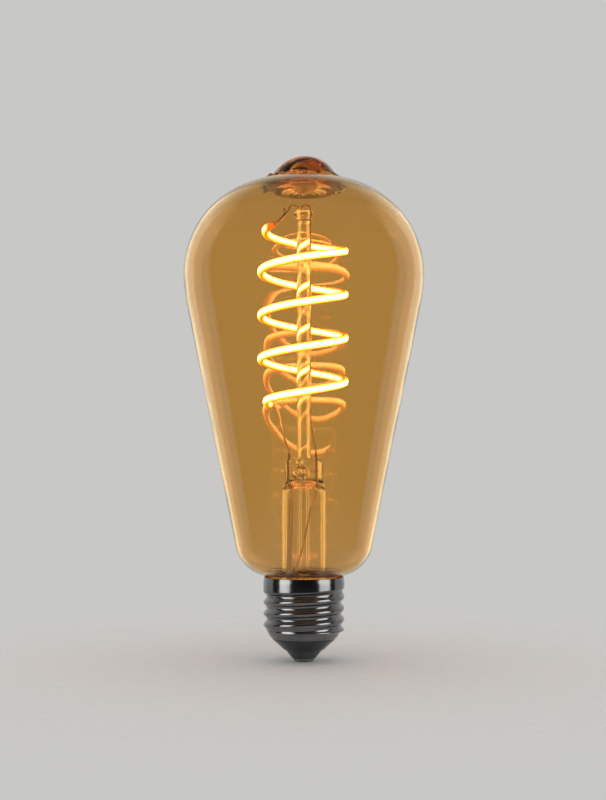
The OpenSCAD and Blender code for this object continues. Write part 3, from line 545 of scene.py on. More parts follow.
def envelope_points():
    """Outer and inner outline of the blown envelope with its solid pip."""
    cone = math.radians(CONE_ANGLE)
    belly = (ENVELOPE_R - BELLY_ARC, BELLY_Z)
    cone_start = (belly[0] + BELLY_ARC * math.cos(cone), BELLY_Z - BELLY_ARC * math.sin(cone))
    heel_z = HEEL_Z + HEEL_ARC
    heel_in = (HEEL_ARC - (heel_z - cone_start[1]) * math.sin(cone)) / math.cos(cone)
    heel = (cone_start[0] - heel_in, heel_z)
    fillet_r = NECK_R + NECK_FILLET
    heel_start = max(fillet_r, heel[0]) - heel[0]
    underside = heel_z - math.sqrt(HEEL_ARC**2 - heel_start**2)
    fillet = (fillet_r, underside - NECK_FILLET)
    shoulder = (ENVELOPE_R - SHOULDER_ARC, BELLY_Z)
    shoulder_end = math.degrees(math.acos((BEAD_R - shoulder[0]) / SHOULDER_ARC))
    bead_z = BELLY_Z + SHOULDER_ARC * math.sin(math.radians(shoulder_end))
    seat_z = bead_z + 0.7 * BEAD_RISE
    dome_arc = (DOME_R**2 + DOME_HEIGHT**2) / (2 * DOME_HEIGHT)
    dome_centre = (0, seat_z + DOME_HEIGHT - dome_arc)

    def heel_from(radius):
        return -math.degrees(math.acos(heel_start / radius)) + 1

    outer = [(NECK_R - WALL, NECK_FOOT_Z), (NECK_R - 0.3, NECK_FOOT_Z), (NECK_R, NECK_FOOT_Z + 0.3)]
    outer += line((NECK_R, NECK_FOOT_Z), (NECK_R, fillet[1]), 6)
    outer += arc(fillet, NECK_FILLET, 180, 90, 8)
    outer += arc(heel, HEEL_ARC, heel_from(HEEL_ARC), -CONE_ANGLE, 26)
    outer += line(outer[-1], cone_start, 22)
    outer += arc(belly, BELLY_ARC, -CONE_ANGLE, 0, 12)
    outer += arc(shoulder, SHOULDER_ARC, 3, shoulder_end, 44)
    for a in np.linspace(12, 168, 25):
        a = math.radians(a)
        outer.append((
            (BEAD_R + DOME_R) / 2 + (BEAD_R - DOME_R) / 2 * math.cos(a),
            bead_z + (seat_z - bead_z) * (1 - math.cos(a)) / 2 + BEAD_RISE * math.sin(a),
        ))
    dome = arc(dome_centre, dome_arc, math.degrees(math.acos(DOME_R / dome_arc)), 90, 30)
    outer += dome[:-1] + [(0, dome[-1][1])]

    inner_arc = SHOULDER_ARC - WALL
    root = math.degrees(math.acos((LENS_R + LENS_FLARE - shoulder[0]) / inner_arc))
    root_z = BELLY_Z + inner_arc * math.sin(math.radians(root))
    edge_z = BELLY_Z + math.sqrt(inner_arc**2 - (LENS_R + LENS_RIM / 2 - shoulder[0]) ** 2) - LENS_DROP
    side_foot_z = edge_z + LENS_RIM
    flat_r = LENS_R - LENS_RIM
    lens_arc = (flat_r**2 + LENS_CROWN**2) / (2 * LENS_CROWN)
    inner = line((NECK_R - WALL, NECK_FOOT_Z), (NECK_R - WALL, fillet[1]), 6)
    inner += arc(fillet, NECK_FILLET + WALL, 180, 91, 8)
    inner += arc(heel, HEEL_ARC - WALL, heel_from(HEEL_ARC - WALL), -CONE_ANGLE, 26)
    inner_belly = BELLY_ARC - WALL
    inner_cone = (belly[0] + inner_belly * math.cos(cone), BELLY_Z - inner_belly * math.sin(cone))
    inner += line(inner[-1], inner_cone, 22)
    inner += arc(belly, inner_belly, -CONE_ANGLE, 0, 12)
    inner += arc(shoulder, inner_arc, 3, root, 44)
    inner += [
        (LENS_R + LENS_FLARE * (1 - math.sin(t)), root_z - (root_z - side_foot_z) * (1 - math.cos(t)))
        for t in np.radians(np.linspace(2, 88, 30))
    ]
    inner += arc((flat_r, edge_z + LENS_RIM), LENS_RIM, 0, -80, 8)
    lens_edge = -math.degrees(math.acos(flat_r / lens_arc)) - 1
    lens = arc((0, edge_z - LENS_CROWN + lens_arc), lens_arc, lens_edge, -90, 30)
    inner += lens[:-1] + [(0, lens[-1][1])]
    return outer, inner[::-1], bead_z, side_foot_z


def make_envelope(material):
    outer, inner, bead_z, side_foot_z = envelope_points()
    points, faces = turned(outer + inner, 224, closed=True)
    x, y, z = points.T
    r = np.hypot(x, y)
    a = np.arctan2(y, x)
    # Folds of the molten glass round the dome and on the side of the lens, rings under the lens, and
    # the slight lean of the drop that was drawn off
    waves = np.sin(2 * math.pi * r / 0.95 + 1.7 * np.sin(5 * a + 0.6) + 0.9 * np.sin(11 * a + 2))
    lumps = np.sin(7 * a + 1) + 0.6 * np.sin(16 * a) + 0.5 * np.sin(27 * a + 2)
    inner_waves = np.sin(2 * math.pi * (z + 0.5 * r) / 1.05 + 1.4 * np.sin(4 * a + 1) + 0.8 * np.sin(9 * a))
    inner_waves += 0.5 * np.sin(2 * math.pi * z / 0.6 + 2 * np.sin(6 * a) + np.sin(17 * a + 1))
    outside = np.exp(-np.abs((r - FOLD_R) / FOLD_SPREAD) ** 3) * (z > bead_z - 1.4)
    inside = np.exp(-((r - COVE_R) / COVE_SPREAD) ** 4) * (z < bead_z - 0.6)
    inside *= np.clip((z - side_foot_z) / 0.3, 0, 1)
    under_lens = (r < LENS_R - 1) * (z < bead_z) * (z > bead_z - 6)
    rings = LENS_RING_DEPTH * np.cos(2 * math.pi * r / LENS_RING_PITCH) * under_lens
    lean = np.clip((z - bead_z) / DOME_HEIGHT, 0, 1)
    folds = outside * (0.35 + 0.36 * waves + 0.2 * lumps) + inside * 0.1 * (inner_waves - lumps)
    points[:, 2] += folds + rings
    points[:, :2] *= (1 + 0.17 * inside * inner_waves / np.maximum(r, 1))[:, None]
    points[:, 0] += DROP_LEAN * lean**1.2
    build("glass_envelope_blown", [(points, faces)], material, ["glass_envelope"], "amber_glass")


def stem_ring(z, half_x, half_y, power, sides=96):
    """Ring between a circle, with power 2, and a flattened block with round ends."""
    a = np.arange(sides) * 2 * math.pi / sides
    c, s = np.cos(a), np.sin(a)
    k = (np.abs(c) ** power + np.abs(s) ** power) ** (-1 / power)
    return np.stack([half_x * k * c, half_y * k * s, np.full(sides, float(z))], axis=1)


def stem_rings():
    """Outside of the stem from its skirt to the pressed top, then its bore down to the skirt."""
    bend_centre = (FLARE_R + FLARE_ARC, FLARE_BEND_Z)
    skirt = math.degrees(math.acos((bend_centre[0] - (NECK_R - WALL)) / FLARE_ARC))
    bore_arc = FLARE_ARC + FLARE_WALL
    bore_skirt = math.degrees(math.acos((bend_centre[0] - (NECK_R - WALL - FLARE_WALL)) / bore_arc))
    outside = [(NECK_R - WALL - FLARE_WALL, NECK_FOOT_Z), (NECK_R - WALL, NECK_FOOT_Z)]
    outside += arc(bend_centre, FLARE_ARC, 180 + skirt, 180, 12)
    outside += line((FLARE_R, FLARE_BEND_Z), (FLARE_R, FLARE_TOP_Z - 0.5), 24)
    rings = [ring(r, z, 96) for r, z in outside]
    for z in np.linspace(FLARE_TOP_Z - 0.5, PRESS_TOP_Z - PRESS_ROUND, 36):
        flat = ramp((z - FLARE_TOP_Z + 0.5) / PRESS_BLEND)
        half_x = FLARE_R + (PRESS_HALF_WIDTH - FLARE_R) * flat
        half_y = FLARE_R + (PRESS_HALF_THICKNESS - FLARE_R) * flat
        ribs = PRESS_RIB_DEPTH * math.sin((z - 59.5) * 2 * math.pi / PRESS_RIB_PITCH)
        ribs *= ramp((z - 59.6) / 0.8)
        rings.append(stem_ring(z, half_x, half_y + ribs, 2 + 1.2 * flat))
    for a in np.radians(np.linspace(12, 90, 9)):
        inset = PRESS_ROUND * (1 - math.cos(a))
        thin = 1 - 0.25 * (1 - math.cos(a))
        z = PRESS_TOP_Z - PRESS_ROUND + PRESS_ROUND * math.sin(a)
        rings.append(stem_ring(z, PRESS_HALF_WIDTH - inset, PRESS_HALF_THICKNESS * thin, 3.2 - 0.4 * a))
    rings.append(np.array([[0, 0, PRESS_TOP_Z]]))
    bore_r = FLARE_R - FLARE_WALL
    bore = [
        (bore_r * math.cos(a), FLARE_TOP_Z + (FLARE_ROOF_Z - FLARE_TOP_Z) * math.sin(a))
        for a in np.radians(np.linspace(90, 0, 15))
    ]
    bore[0] = (0, FLARE_ROOF_Z)
    bore += line((bore_r, FLARE_TOP_Z), (bore_r, FLARE_BEND_Z), 24)
    bore += arc(bend_centre, bore_arc, 180, 180 + bore_skirt, 12)
    return rings + [ring(r, z, 96) for r, z in bore]


def combine(piece, operation, shapes, material):
    """Joins closed shapes to a piece, or cuts them out of it, for good."""
    for points, faces in shapes:
        mesh = bpy.data.meshes.new("cutter")
        mesh.from_pydata((np.asarray(points) * MM).tolist(), [], faces)
        tool = bpy.data.objects.new("cutter", mesh)
        bpy.context.collection.objects.link(tool)
        cut = piece.modifiers.new("cut", "BOOLEAN")
        cut.operation, cut.solver, cut.object = operation, "EXACT", tool
        shaped = bpy.data.meshes.new_from_object(piece.evaluated_get(bpy.context.evaluated_depsgraph_get()))
        piece.modifiers.clear()
        piece.data = shaped
        bpy.data.objects.remove(tool)
    piece.data.materials.clear()
    piece.data.materials.append(material)
    piece.data.shade_smooth()
    piece.data.set_sharp_from_angle(angle=math.radians(SHARP_CUT))


def make_stem(material):
    stem = build("stem_glass", [loft(stem_rings(), closed=True)], material, ["stem_flare"], "stem_glass")
    bore_route = [
        [0, 0, FLARE_ROOF_Z - 1], [0, 0, FLARE_ROOF_Z], [0, -0.1, VENT_Z - 1.2],
        [VENT_X * 0.6, -1, VENT_Z], [VENT_X, -2.2, VENT_Z + 0.1], [VENT_X, -3.4, VENT_Z + 0.1],
    ]
    bore = wire(bore_route, VENT_R, (1, 0, 0))
    # The vent was blown out through a blister, and a drop of glass hangs above it
    blister = blob((VENT_X - 0.3, -2.35, VENT_Z - 0.3), (2.9, 1.15, 2.35), 40, 24)
    drop = blob((VENT_X - 0.8, -2.4, VENT_Z + 3.6), (1.25, 1.1, 1.3))
    hollow = blob((VENT_X - 0.2, -2.6, VENT_Z - 0.1), (1.5, 0.65, 1.3))
    seal_bore = [(0, SEAL_FOOT_Z - 1.6), (SEAL_BORE_R, SEAL_FOOT_Z - 1.5)]
    seal_bore += [(SEAL_BORE_R, SEAL_TOP_Z), (0, SEAL_TOP_Z + 0.1)]
    seals = [turned_at(x, seal_bore) for x in (LEFT_SEAL_X, RIGHT_SEAL_X)]
    combine(stem, "UNION", [blister, drop], material)
    combine(stem, "DIFFERENCE", [bore, hollow] + seals, material)


def turned_at(x, outline):
    """An outline turned about an upright axis beside the lamp axis."""
    points, faces = turned(outline, 24)
    return points + np.array([x, 0, 0]), faces


def make_exhaust_tube(material):
    roof = math.sqrt(1 - (EXHAUST_R / (FLARE_R - FLARE_WALL)) ** 2)
    top_z = FLARE_TOP_Z + (FLARE_ROOF_Z - FLARE_TOP_Z) * roof - 0.1
    centre_z = EXHAUST_TIP_Z + EXHAUST_R
    outline = [(0, EXHAUST_TIP_Z)] + arc((0, centre_z), EXHAUST_R, -84, 0, 12)
    outline += line((EXHAUST_R, centre_z), (EXHAUST_R, top_z), 20)
    outline += [(EXHAUST_R, top_z), (EXHAUST_BORE_R, top_z)]
    bore = arc((0, centre_z + 1), EXHAUST_BORE_R, 0, -84, 10)
    outline += line((EXHAUST_BORE_R, top_z), bore[0], 20) + bore + [(0, centre_z + 1 - EXHAUST_BORE_R)]
    build("exhaust_tube_glass", [turned(outline, 64)], material, ["exhaust_tube"], "stem_glass")


def make_rod(material):
    foot, gap = PRESS_TOP_Z, 0.02
    button_z = ROD_TOP_Z - BUTTON_HEIGHT / 2
    neck_z = ROD_TOP_Z - BUTTON_HEIGHT - 0.4
    outline = [(0, foot + gap), (ROD_FOOT_R - 0.1, foot + gap), (ROD_FOOT_R, foot + 0.15)]
    flare = ROD_FOOT_R - ROD_R
    outline += [(ROD_FOOT_R - flare * ramp(t), foot + 0.15 + 1.6 * t) for t in np.linspace(0.1, 1, 8)]
    outline += line((ROD_R, foot + 1.75), (ROD_R, neck_z - 1.2), 40)
    narrowing = ROD_R - ROD_NECK_R
    outline += [(ROD_R - narrowing * ramp(t), neck_z - 1.2 + 1.2 * t) for t in np.linspace(0, 1, 8)]
    outline += [
        (ROD_R / 2 + (BUTTON_R - ROD_R / 2) * math.cos(a), button_z + BUTTON_HEIGHT / 2 * math.sin(a))
        for a in np.radians(np.linspace(-58, 82, 26))
    ]
    outline += [(0.6, ROD_TOP_Z), (0, ROD_TOP_Z)]
    rod = build("support_rod_glass", [turned(outline, 72)], material, ["support_rod"], "stem_glass")
    # The long lead lies in a groove
    groove = turned([(0, neck_z - 4), (0.36, neck_z - 4), (0.36, ROD_TOP_Z + 3), (0, ROD_TOP_Z + 3)], 20)
    groove = (groove[0] + np.array([ROD_R + LEAD_R - 0.5, LEAD_SIDE, 0]), groove[1])
    combine(rod, "DIFFERENCE", [groove], material)


# Filament

def drawn(t):
    return max(0.0, 1 - t / TUCK_SPAN) ** 1.5


def coil_point(t, out=0.0, up=0.0):
    """Point of the coil, t turns below its upper end, moved outwards and up."""
    a = math.radians(COIL_START - 360 * t)
    r = COIL_R + out - END_TUCK * (drawn(t) + drawn(COIL_TURNS - t))
    stand = COIL_TILT * (1 + math.sin(a)) / 2 - END_DROOP * drawn(t)
    height = COIL_TOP_Z - COIL_PITCH * t + stand + up
    return np.array([COIL_OFFSET + r * math.cos(a), r * math.sin(a), height])


def coil_stations():
    """Turns below the upper end at which the section stands, closer together in the rounded ends."""
    count = math.ceil(COIL_TURNS * RINGS_A_TURN)
    end = [END_ROUND * (1 - math.cos(a)) for a in np.radians(np.linspace(0, 80, 7))]
    even = [COIL_TURNS * i / count for i in range(count)]
    middle = [t for t in even if END_ROUND < t < COIL_TURNS - END_ROUND]
    return end + middle + [COIL_TURNS - t for t in end[::-1]]


def end_share(t):
    """Share of its full section that the filament has t turns below its upper end."""
    along = min(t, COIL_TURNS - t) / END_ROUND
    slim = 1 - 0.14 * max(0.0, 1 - along / 6) ** 2
    return slim * math.sqrt(1 - 0.88 * max(0.0, 1 - along) ** 2)


def coil_skin(section):
    """Skin of a section wound along the coil, with its turn and height across at each point."""
    rings, turns, across = [], [], []
    for t in coil_stations():
        s = end_share(t)
        rings.append(np.array([
            coil_point(t, math.copysign(STRIP_HALF + (abs(x) - STRIP_HALF) * s, x), z * s)
            for x, z in section
        ]))
        turns += [t] * len(section)
        across += [z / FILAMENT_HALF_HEIGHT for _, z in section]
    ends = [rings[0].mean(axis=0)[None, :], rings[-1].mean(axis=0)[None, :]]
    points, faces = loft([ends[0]] + rings + [ends[1]])
    return (points, faces), [0.0] + turns + [COIL_TURNS], [1.0] + across + [1.0]


def coating_outline(steps=14):
    """Rounded section of the silicone on the outer face of the strip, from top to bottom."""
    points = []
    for a in np.radians(np.linspace(90, -90, steps + 1)):
        x = max(0.0, math.cos(a)) ** (2 / 2.4)
        z = math.copysign(abs(math.sin(a)) ** (2 / 2.4), math.sin(a))
        points.append((STRIP_HALF + COATING_DEPTH * x, 0.92 * FILAMENT_HALF_HEIGHT * z))
    return points


def make_filament(coating, strip_metal, chip_material):
    outer = coating_outline()
    groove = [
        (-STRIP_HALF, GROOVE_HALF), (-STRIP_HALF - GROOVE_DEPTH, GROOVE_HALF),
        (-STRIP_HALF - GROOVE_DEPTH, -GROOVE_HALF), (-STRIP_HALF, -GROOVE_HALF),
    ]
    inner = groove + [(-x, z) for x, z in outer[::-1]]
    half = FILAMENT_HALF_HEIGHT
    strip = [(x * STRIP_HALF, z * half) for x, z in ((1, 1), (-1, 1), (-1, -1), (1, -1))]
    layers = (
        ("filament_outer_silicone", outer, coating, "filament_outer_coating", "silicone", 0.0),
        ("filament_inner_silicone", inner, coating, "filament_inner_coating", "silicone", 1.0),
        ("filament_strip_wound", strip, strip_metal, "filament_strip", "filament_strip", 0.0),
    )
    for name, section, material, node, slot, inward in layers:
        part, turns, across = coil_skin(section)
        build(name, [part], material, [node], slot, turn=turns, across=across, inner=[inward] * len(turns))
    chips = []
    places = math.ceil(COIL_TURNS * CHIPS_A_TURN)
    for i in range(1, places - 1):
        t = COIL_TURNS * (i + 0.5) / places
        along = unit(coil_point(t + 0.002) - coil_point(t - 0.002))
        out = unit(coil_point(t, 1) - coil_point(t))
        up = np.cross(along, out)
        centre = coil_point(t, -STRIP_HALF - CHIP_SIZE[1] / 2 - 0.01)
        chips.append(box_at(centre, (along, out, up), CHIP_SIZE))
    build("light_chips", chips, chip_material, ["led_chips"], "led_chip")


def box_at(centre, axes, size, ease=0.03):
    """Small block with eased edges, its sides along three axes."""
    rings = []
    for level, inset in ((-0.5, ease), (-0.5, 0), (0.5, 0), (0.5, ease)):
        shift = math.copysign(ease, -level) if inset == 0 else 0
        half = (size[0] / 2 - inset, size[1] / 2 - inset)
        corners = ((1, 1), (-1, 1), (-1, -1), (1, -1))
        rings.append(np.array([
            centre + axes[0] * x * half[0] + axes[1] * y * half[1] + axes[2] * (level * size[2] + shift)
            for x, y in corners
        ]))
    ends = [rings[0].mean(axis=0)[None, :], rings[-1].mean(axis=0)[None, :]]
    return loft([ends[0]] + rings + [ends[1]])


# Wires

def make_leads(lead, dumet, outer, terminal, sleeve):
    top, foot = coil_point(0), coil_point(COIL_TURNS)
    at_top = np.array([top[0], top[1], 0])
    start, end = math.radians(COIL_START + 90), math.radians(COIL_START - 360 * COIL_TURNS + 90)
    top_tangent = np.array([math.cos(start), math.sin(start), 0])
    foot_tangent = np.array([-math.cos(end), -math.sin(end), 0])
    beside = (ROD_R + LEAD_R - 0.5, LEAD_SIDE)
    long_route = [
        [RIGHT_SEAL_X, 0, SEAL_TOP_Z], [RIGHT_SEAL_X, 0, SEAL_TOP_Z + 0.6],
        [3.1, -0.9, PRESS_TOP_Z + 6], [2.4, -1.6, PRESS_TOP_Z + 10.5],
        [*beside, PRESS_TOP_Z + 14], [*beside, ROD_TOP_Z - 30], [*beside, ROD_TOP_Z - 4],
        [*beside, ROD_TOP_Z], [*beside, ROD_TOP_Z + 0.3],
        [1.1, -1.3, ROD_TOP_Z + 1], [0.2, -0.9, ROD_TOP_Z + 1.3], [-0.5, -1.1, ROD_TOP_Z + 0.6],
        [-2.4, -3.2, ROD_TOP_Z + 0.3], [-4, -5.1, ROD_TOP_Z + 0.1],
        at_top + [3.9, -0.2, ROD_TOP_Z - 2.4], at_top + [2.6, -0.85, ROD_TOP_Z - 4],
        at_top + [2, -1.05, ROD_TOP_Z - 4.7],
    ]
    short_route = [
        [LEFT_SEAL_X, 0, SEAL_TOP_Z], [LEFT_SEAL_X, 0, SEAL_TOP_Z + 0.5],
        [-6.1, 0, SEAL_TOP_Z + 4.2], [-6.8, 0.2, SEAL_TOP_Z + 6.9], [-7.4, 0.8, SEAL_TOP_Z + 9.2],
        [-7.9, 1.9, foot[2] - 3.4], foot + [1.7, -0.5, -1.2], foot + [0.7, 0.5, -0.5],
    ]
    top_terminal = [
        top, top + 0.6 * top_tangent, top + 1.3 * top_tangent + [0.4, 0.5, 0.7],
        at_top + [2.1, -0.5, ROD_TOP_Z - 4.4], at_top + [3.1, -0.1, ROD_TOP_Z - 3.1],
        at_top + [3.4, 0.5, ROD_TOP_Z - 1.9], at_top + [2.9, 1.2, ROD_TOP_Z - 0.7],
    ]
    foot_terminal = [
        foot, foot + 0.6 * foot_tangent, foot + 1.3 * foot_tangent + [0.5, -0.1, -0.1],
        foot + [1.9, 1.3, -0.3], foot + [2.9, 1, -0.8],
    ]
    left_foot = np.array([-4.9, -0.3, FLARE_BEND_Z + 2.5])
    left_top = np.array([-4.1, -0.5, FLARE_TOP_Z - 0.5])
    run = left_top - left_foot
    left_route = [
        [-5.5, 2, 12], [-5.5, 2, 14.6], [-5.3, 0.6, 20], left_foot, left_foot + SLEEVE_MARGIN * run,
        left_top - SLEEVE_MARGIN * run, left_top,
        [LEFT_SEAL_X, 0, SEAL_FOOT_Z - 0.4], [LEFT_SEAL_X, 0, SEAL_FOOT_Z],
    ]
    right_route = [
        [-3.5, -5.5, 12], [-3.5, -5.5, 14.6], [-3.2, -4.6, 21], [-2.2, -3.9, 30], [-0.3, -3.5, 37],
        [2.3, -3.1, FLARE_TOP_Z - 4.5], [3.6, -1.1, FLARE_TOP_Z - 1.4],
        [RIGHT_SEAL_X, 0, SEAL_FOOT_Z - 0.4], [RIGHT_SEAL_X, 0, SEAL_FOOT_Z],
    ]
    build("long_lead", [wire(long_route, LEAD_R)], lead, ["long_lead_wire"], "lead_wire")
    build("short_lead", [wire(short_route, LEAD_R)], lead, ["short_lead_wire"], "lead_wire")
    build("outer_lead_left_wire", [wire(left_route, LEAD_R)], outer, ["outer_lead_left"], "outer_lead")
    build("outer_lead_right_wire", [wire(right_route, LEAD_R)], outer, ["outer_lead_right"], "outer_lead")
    seal = [(0, SEAL_FOOT_Z), (0.3, SEAL_FOOT_Z), (SEAL_R, SEAL_FOOT_Z + 0.06)]
    seal += [(SEAL_R, SEAL_TOP_Z - 0.06), (0.3, SEAL_TOP_Z), (0, SEAL_TOP_Z)]
    seals = [turned_at(x, seal) for x in (LEFT_SEAL_X, RIGHT_SEAL_X)]
    build("seal_wire_pair", seals, dumet, ["seal_wires"], "seal_wire")
    for name, route, node in (
        ("terminal_upper", top_terminal, "filament_top_terminal"),
        ("terminal_lower", foot_terminal, "filament_bottom_terminal"),
    ):
        tab = sweep(smooth(route), flat_section(TAB_WIDTH, TAB_THICKNESS), (0, 0, -1))
        build(name, [loft(rounded(tab, 0.05))], terminal, [node], "terminal")
    along = [left_foot + s * run for s in np.linspace(SLEEVE_MARGIN, 1 - SLEEVE_MARGIN, 40)]
    tube = sweep(along, round_section(SLEEVE_R, 28), (0, 1, 0))
    bore = sweep(along[::-1], round_section(SLEEVE_BORE_R, 28), (0, 1, 0))
    bore = [np.roll(b[::-1], 15, axis=0) for b in bore]
    build("lead_sleeve_tube", [loft(tube + bore, closed=True)], sleeve, ["lead_sleeve"], "sleeve")


# Cap

def thread_grown(z):
    return ramp((z - THREAD_FOOT_Z) / THREAD_FADE)


def thread_left(z):
    return ramp((THREAD_TOP_Z - z) / THREAD_FADE)


def thread_radius(z, angles):
    """Outer radius of the rolled shell at a height, for each angle in radians."""
    wave = THREAD_DEPTH / 2 * np.cos(2 * math.pi * (z - CREST_Z) / THREAD_PITCH - angles)
    foot = (THREAD_MEAN_R - SHELL_WAIST_R) * (1 - thread_grown(z))
    top = (COLLAR_R - THREAD_MEAN_R) * (1 - thread_left(z))
    return THREAD_MEAN_R + wave * thread_grown(z) * thread_left(z) - foot + top


def make_shell(material):
    sides = 216
    angles = np.arange(sides) * 2 * math.pi / sides

    def waved(z, inset):
        r = thread_radius(z, angles) - inset
        return np.stack([r * np.cos(angles), r * np.sin(angles), np.full(sides, float(z))], axis=1)

    foot_in, waist_in = SHELL_FOOT_R - SHELL_SHEET, SHELL_WAIST_R - SHELL_SHEET - 0.08
    outside = [ring(foot_in, SHELL_FOOT_Z + 0.1, sides), ring(SHELL_FOOT_R - 0.08, SHELL_FOOT_Z, sides)]
    cone_run = SHELL_WAIST_R - 0.04 - SHELL_FOOT_R
    outside += [
        ring(SHELL_FOOT_R + t * cone_run, SHELL_FOOT_Z + 0.05 + t * (CONE_TOP_Z - SHELL_FOOT_Z), sides)
        for t in np.linspace(0, 1, 8)
    ]
    heights = np.linspace(THREAD_FOOT_Z, THREAD_TOP_Z - 0.28, 150)
    outside += [waved(z, 0) for z in heights]
    outside += [ring(r, z, sides) for r, z in arc((COLLAR_R - 0.16, COLLAR_Z + 0.16), 0.16, -60, 0, 5)]
    outside += [ring(COLLAR_R, z, sides) for z in np.linspace(COLLAR_Z + 0.4, CAP_TOP_Z - 1.5, 8)]
    outside += [
        ring(COLLAR_R - 0.16 * ramp(t), CAP_TOP_Z - 1.5 + 1.3 * t, sides)
        for t in np.linspace(0.1, 1, 9)
    ]
    outside += [ring(r, z, sides) for r, z in arc((COLLAR_R - 0.29, CAP_TOP_Z - 0.13), 0.13, 0, 180, 10)]
    inside = [ring(COLLAR_R - SHELL_SHEET, z, sides) for z in (CAP_TOP_Z - 0.5, COLLAR_Z + 1.6)]
    inside += [waved(z, SHELL_SHEET * 0.8) for z in heights[::-3]]
    inside += [ring(waist_in, CONE_TOP_Z + 0.05, sides)]
    points, faces = loft(outside + inside, closed=True)
    # The thread climbs into the collar on one side
    rise = ((1 + np.cos(np.arctan2(points[:, 1], points[:, 0]))) / 2) ** 2
    z = points[:, 2]
    near = np.clip((z - CLIMB_FOOT_Z) / 1.4, 0, 1) * np.clip((CLIMB_TOP_Z - z) / 2.6, 0, 1)
    points[:, 2] += CLIMB * rise * near
    return build("screw_shell_rolled", [(points, faces)], material, ["screw_shell"], "nickel_shell")


def make_cap_foot(vitrite, plate_metal, rivet_metal):
    waist = SHELL_WAIST_R - SHELL_SHEET - 0.08
    foot_in = SHELL_FOOT_R - SHELL_SHEET
    cone_top = (foot_in - 0.1, SHELL_FOOT_Z - 0.4)
    cone_foot = (PLATE_R + 0.8, PLATE_RIM_Z + 0.4)
    # The insulator lies in the dish of the plate
    dish = [(5.28, PLATE_RIM_Z), (3.7, 1.3), (SHANK_R, 1.3)]
    insulator = [(SHANK_R, INSULATOR_FLOOR_Z), (waist, INSULATOR_FLOOR_Z), (waist, CONE_TOP_Z + 0.05)]
    insulator += [(foot_in, SHELL_FOOT_Z + 0.1), cone_top] + line(cone_top, cone_foot, 10) + [cone_foot]
    insulator += [(PLATE_R + 0.05, PLATE_RIM_Z)] + dish
    insulator = turned(insulator[::-1], 128, closed=True)
    insulator = build("insulator_pressed", [insulator], vitrite, ["cap_insulator"], "black_insulator")
    plate = [(SHANK_R, PLATE_Z), (PLATE_FOOT_R - 0.5, PLATE_Z)]
    plate += arc((PLATE_FOOT_R - 0.5, PLATE_Z + 0.6), 0.6, -80, -35, 6)
    plate += line(plate[-1], (PLATE_R - 0.08, PLATE_RIM_Z - 0.1), 8)
    plate += [(PLATE_R - 0.08, PLATE_RIM_Z - 0.1), (PLATE_R, PLATE_RIM_Z)] + dish
    plate = turned(plate, 96, closed=True)
    plate = build("contact_plate_pressed", [plate], plate_metal, ["contact_plate"], "contact_metal")
    rivet = [(0, 0), (RIVET_FACE_R - 0.4, 0)] + arc((RIVET_FACE_R, 0.675), 0.675, -88, 0, 10)
    rivet += [(3.17, PLATE_Z), (SHANK_R, PLATE_Z)]
    rivet += [(SHANK_R, RIVET_TOP_Z - 0.15), (SHANK_R - 0.15, RIVET_TOP_Z)]
    rivet += [(LEAD_R, RIVET_TOP_Z), (LEAD_R, 4.5), (0, 4.5)]
    rivet = turned(rivet, 64)
    rivet = build("contact_rivet_headed", [rivet], rivet_metal, ["contact_rivet"], "contact_metal")
    return [insulator, plate, rivet]


def finish_inner_parts(finishes):
    """Gives the carried-over CAD parts inside the cap their materials."""
    for node, material in finishes.items():
        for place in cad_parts[node].material_slots:
            place.material = material


# Studio

def make_world():
    """Pale backdrop that the camera sees; glass and metal also see bright walls to both sides of it."""
    world = bpy.data.worlds.new("studio")
    bpy.context.scene.world = world
    world.use_nodes = True
    world.node_tree.nodes.clear()
    w = Nodes(world.node_tree)
    direction = w.node("ShaderNodeTexCoord").outputs["Generated"]
    direction = w.node("ShaderNodeSeparateXYZ", Vector=direction).outputs
    # 0 behind the lamp, 0.5 beside it, 1 on the camera's side
    round_lamp = w.math("DIVIDE", w.math("ARCTAN2", w.math("ABSOLUTE", direction[0]), direction[1]), math.pi)
    walls = w.colours(round_lamp, [
        (0.09, (0, 0, 0)), (0.11, (1, 1, 1)), (0.27, (1, 1, 1)), (0.29, (0, 0, 0)),
    ])
    ceiling = w.span(direction[2], 1.0, 0.25, 0.5, 0.8)

    def backdrop(brightest, foot):
        height = w.span(direction[2], 0.15, 1.0, foot, foot + 0.08)
        strength = w.math("MULTIPLY", w.span(w.math("MULTIPLY", walls, height), 1.0, brightest), ceiling)
        return w.node("ShaderNodeBackground", Color=(*PALE, 1), Strength=strength).outputs[0]

    pale = w.node("ShaderNodeBackground", Color=(*PALE, 1)).outputs[0]
    light = w.node("ShaderNodeBackground", Color=(1, 1, 1, 1), Strength=1.0).outputs[0]
    shader = w.mix(w.ray("Is Glossy Ray"), light, backdrop(1.25, -0.12))
    shader = w.mix(w.ray("Is Transmission Ray"), shader, backdrop(2.6, -0.5))
    shader = w.mix(w.ray("Is Camera Ray"), shader, pale)
    output = w.node("ShaderNodeOutputWorld")
    w.tree.links.new(shader, output.inputs["Surface"])


def stage_sheet(name, points, faces, material):
    """Floor or card, which isn't part of the lamp."""
    mesh = bpy.data.meshes.new(name)
    mesh.from_pydata((np.asarray(points) * MM).tolist(), [], faces)
    mesh.materials.append(material)
    sheet = bpy.data.objects.new(name, mesh)
    bpy.context.collection.objects.link(sheet)
    return sheet


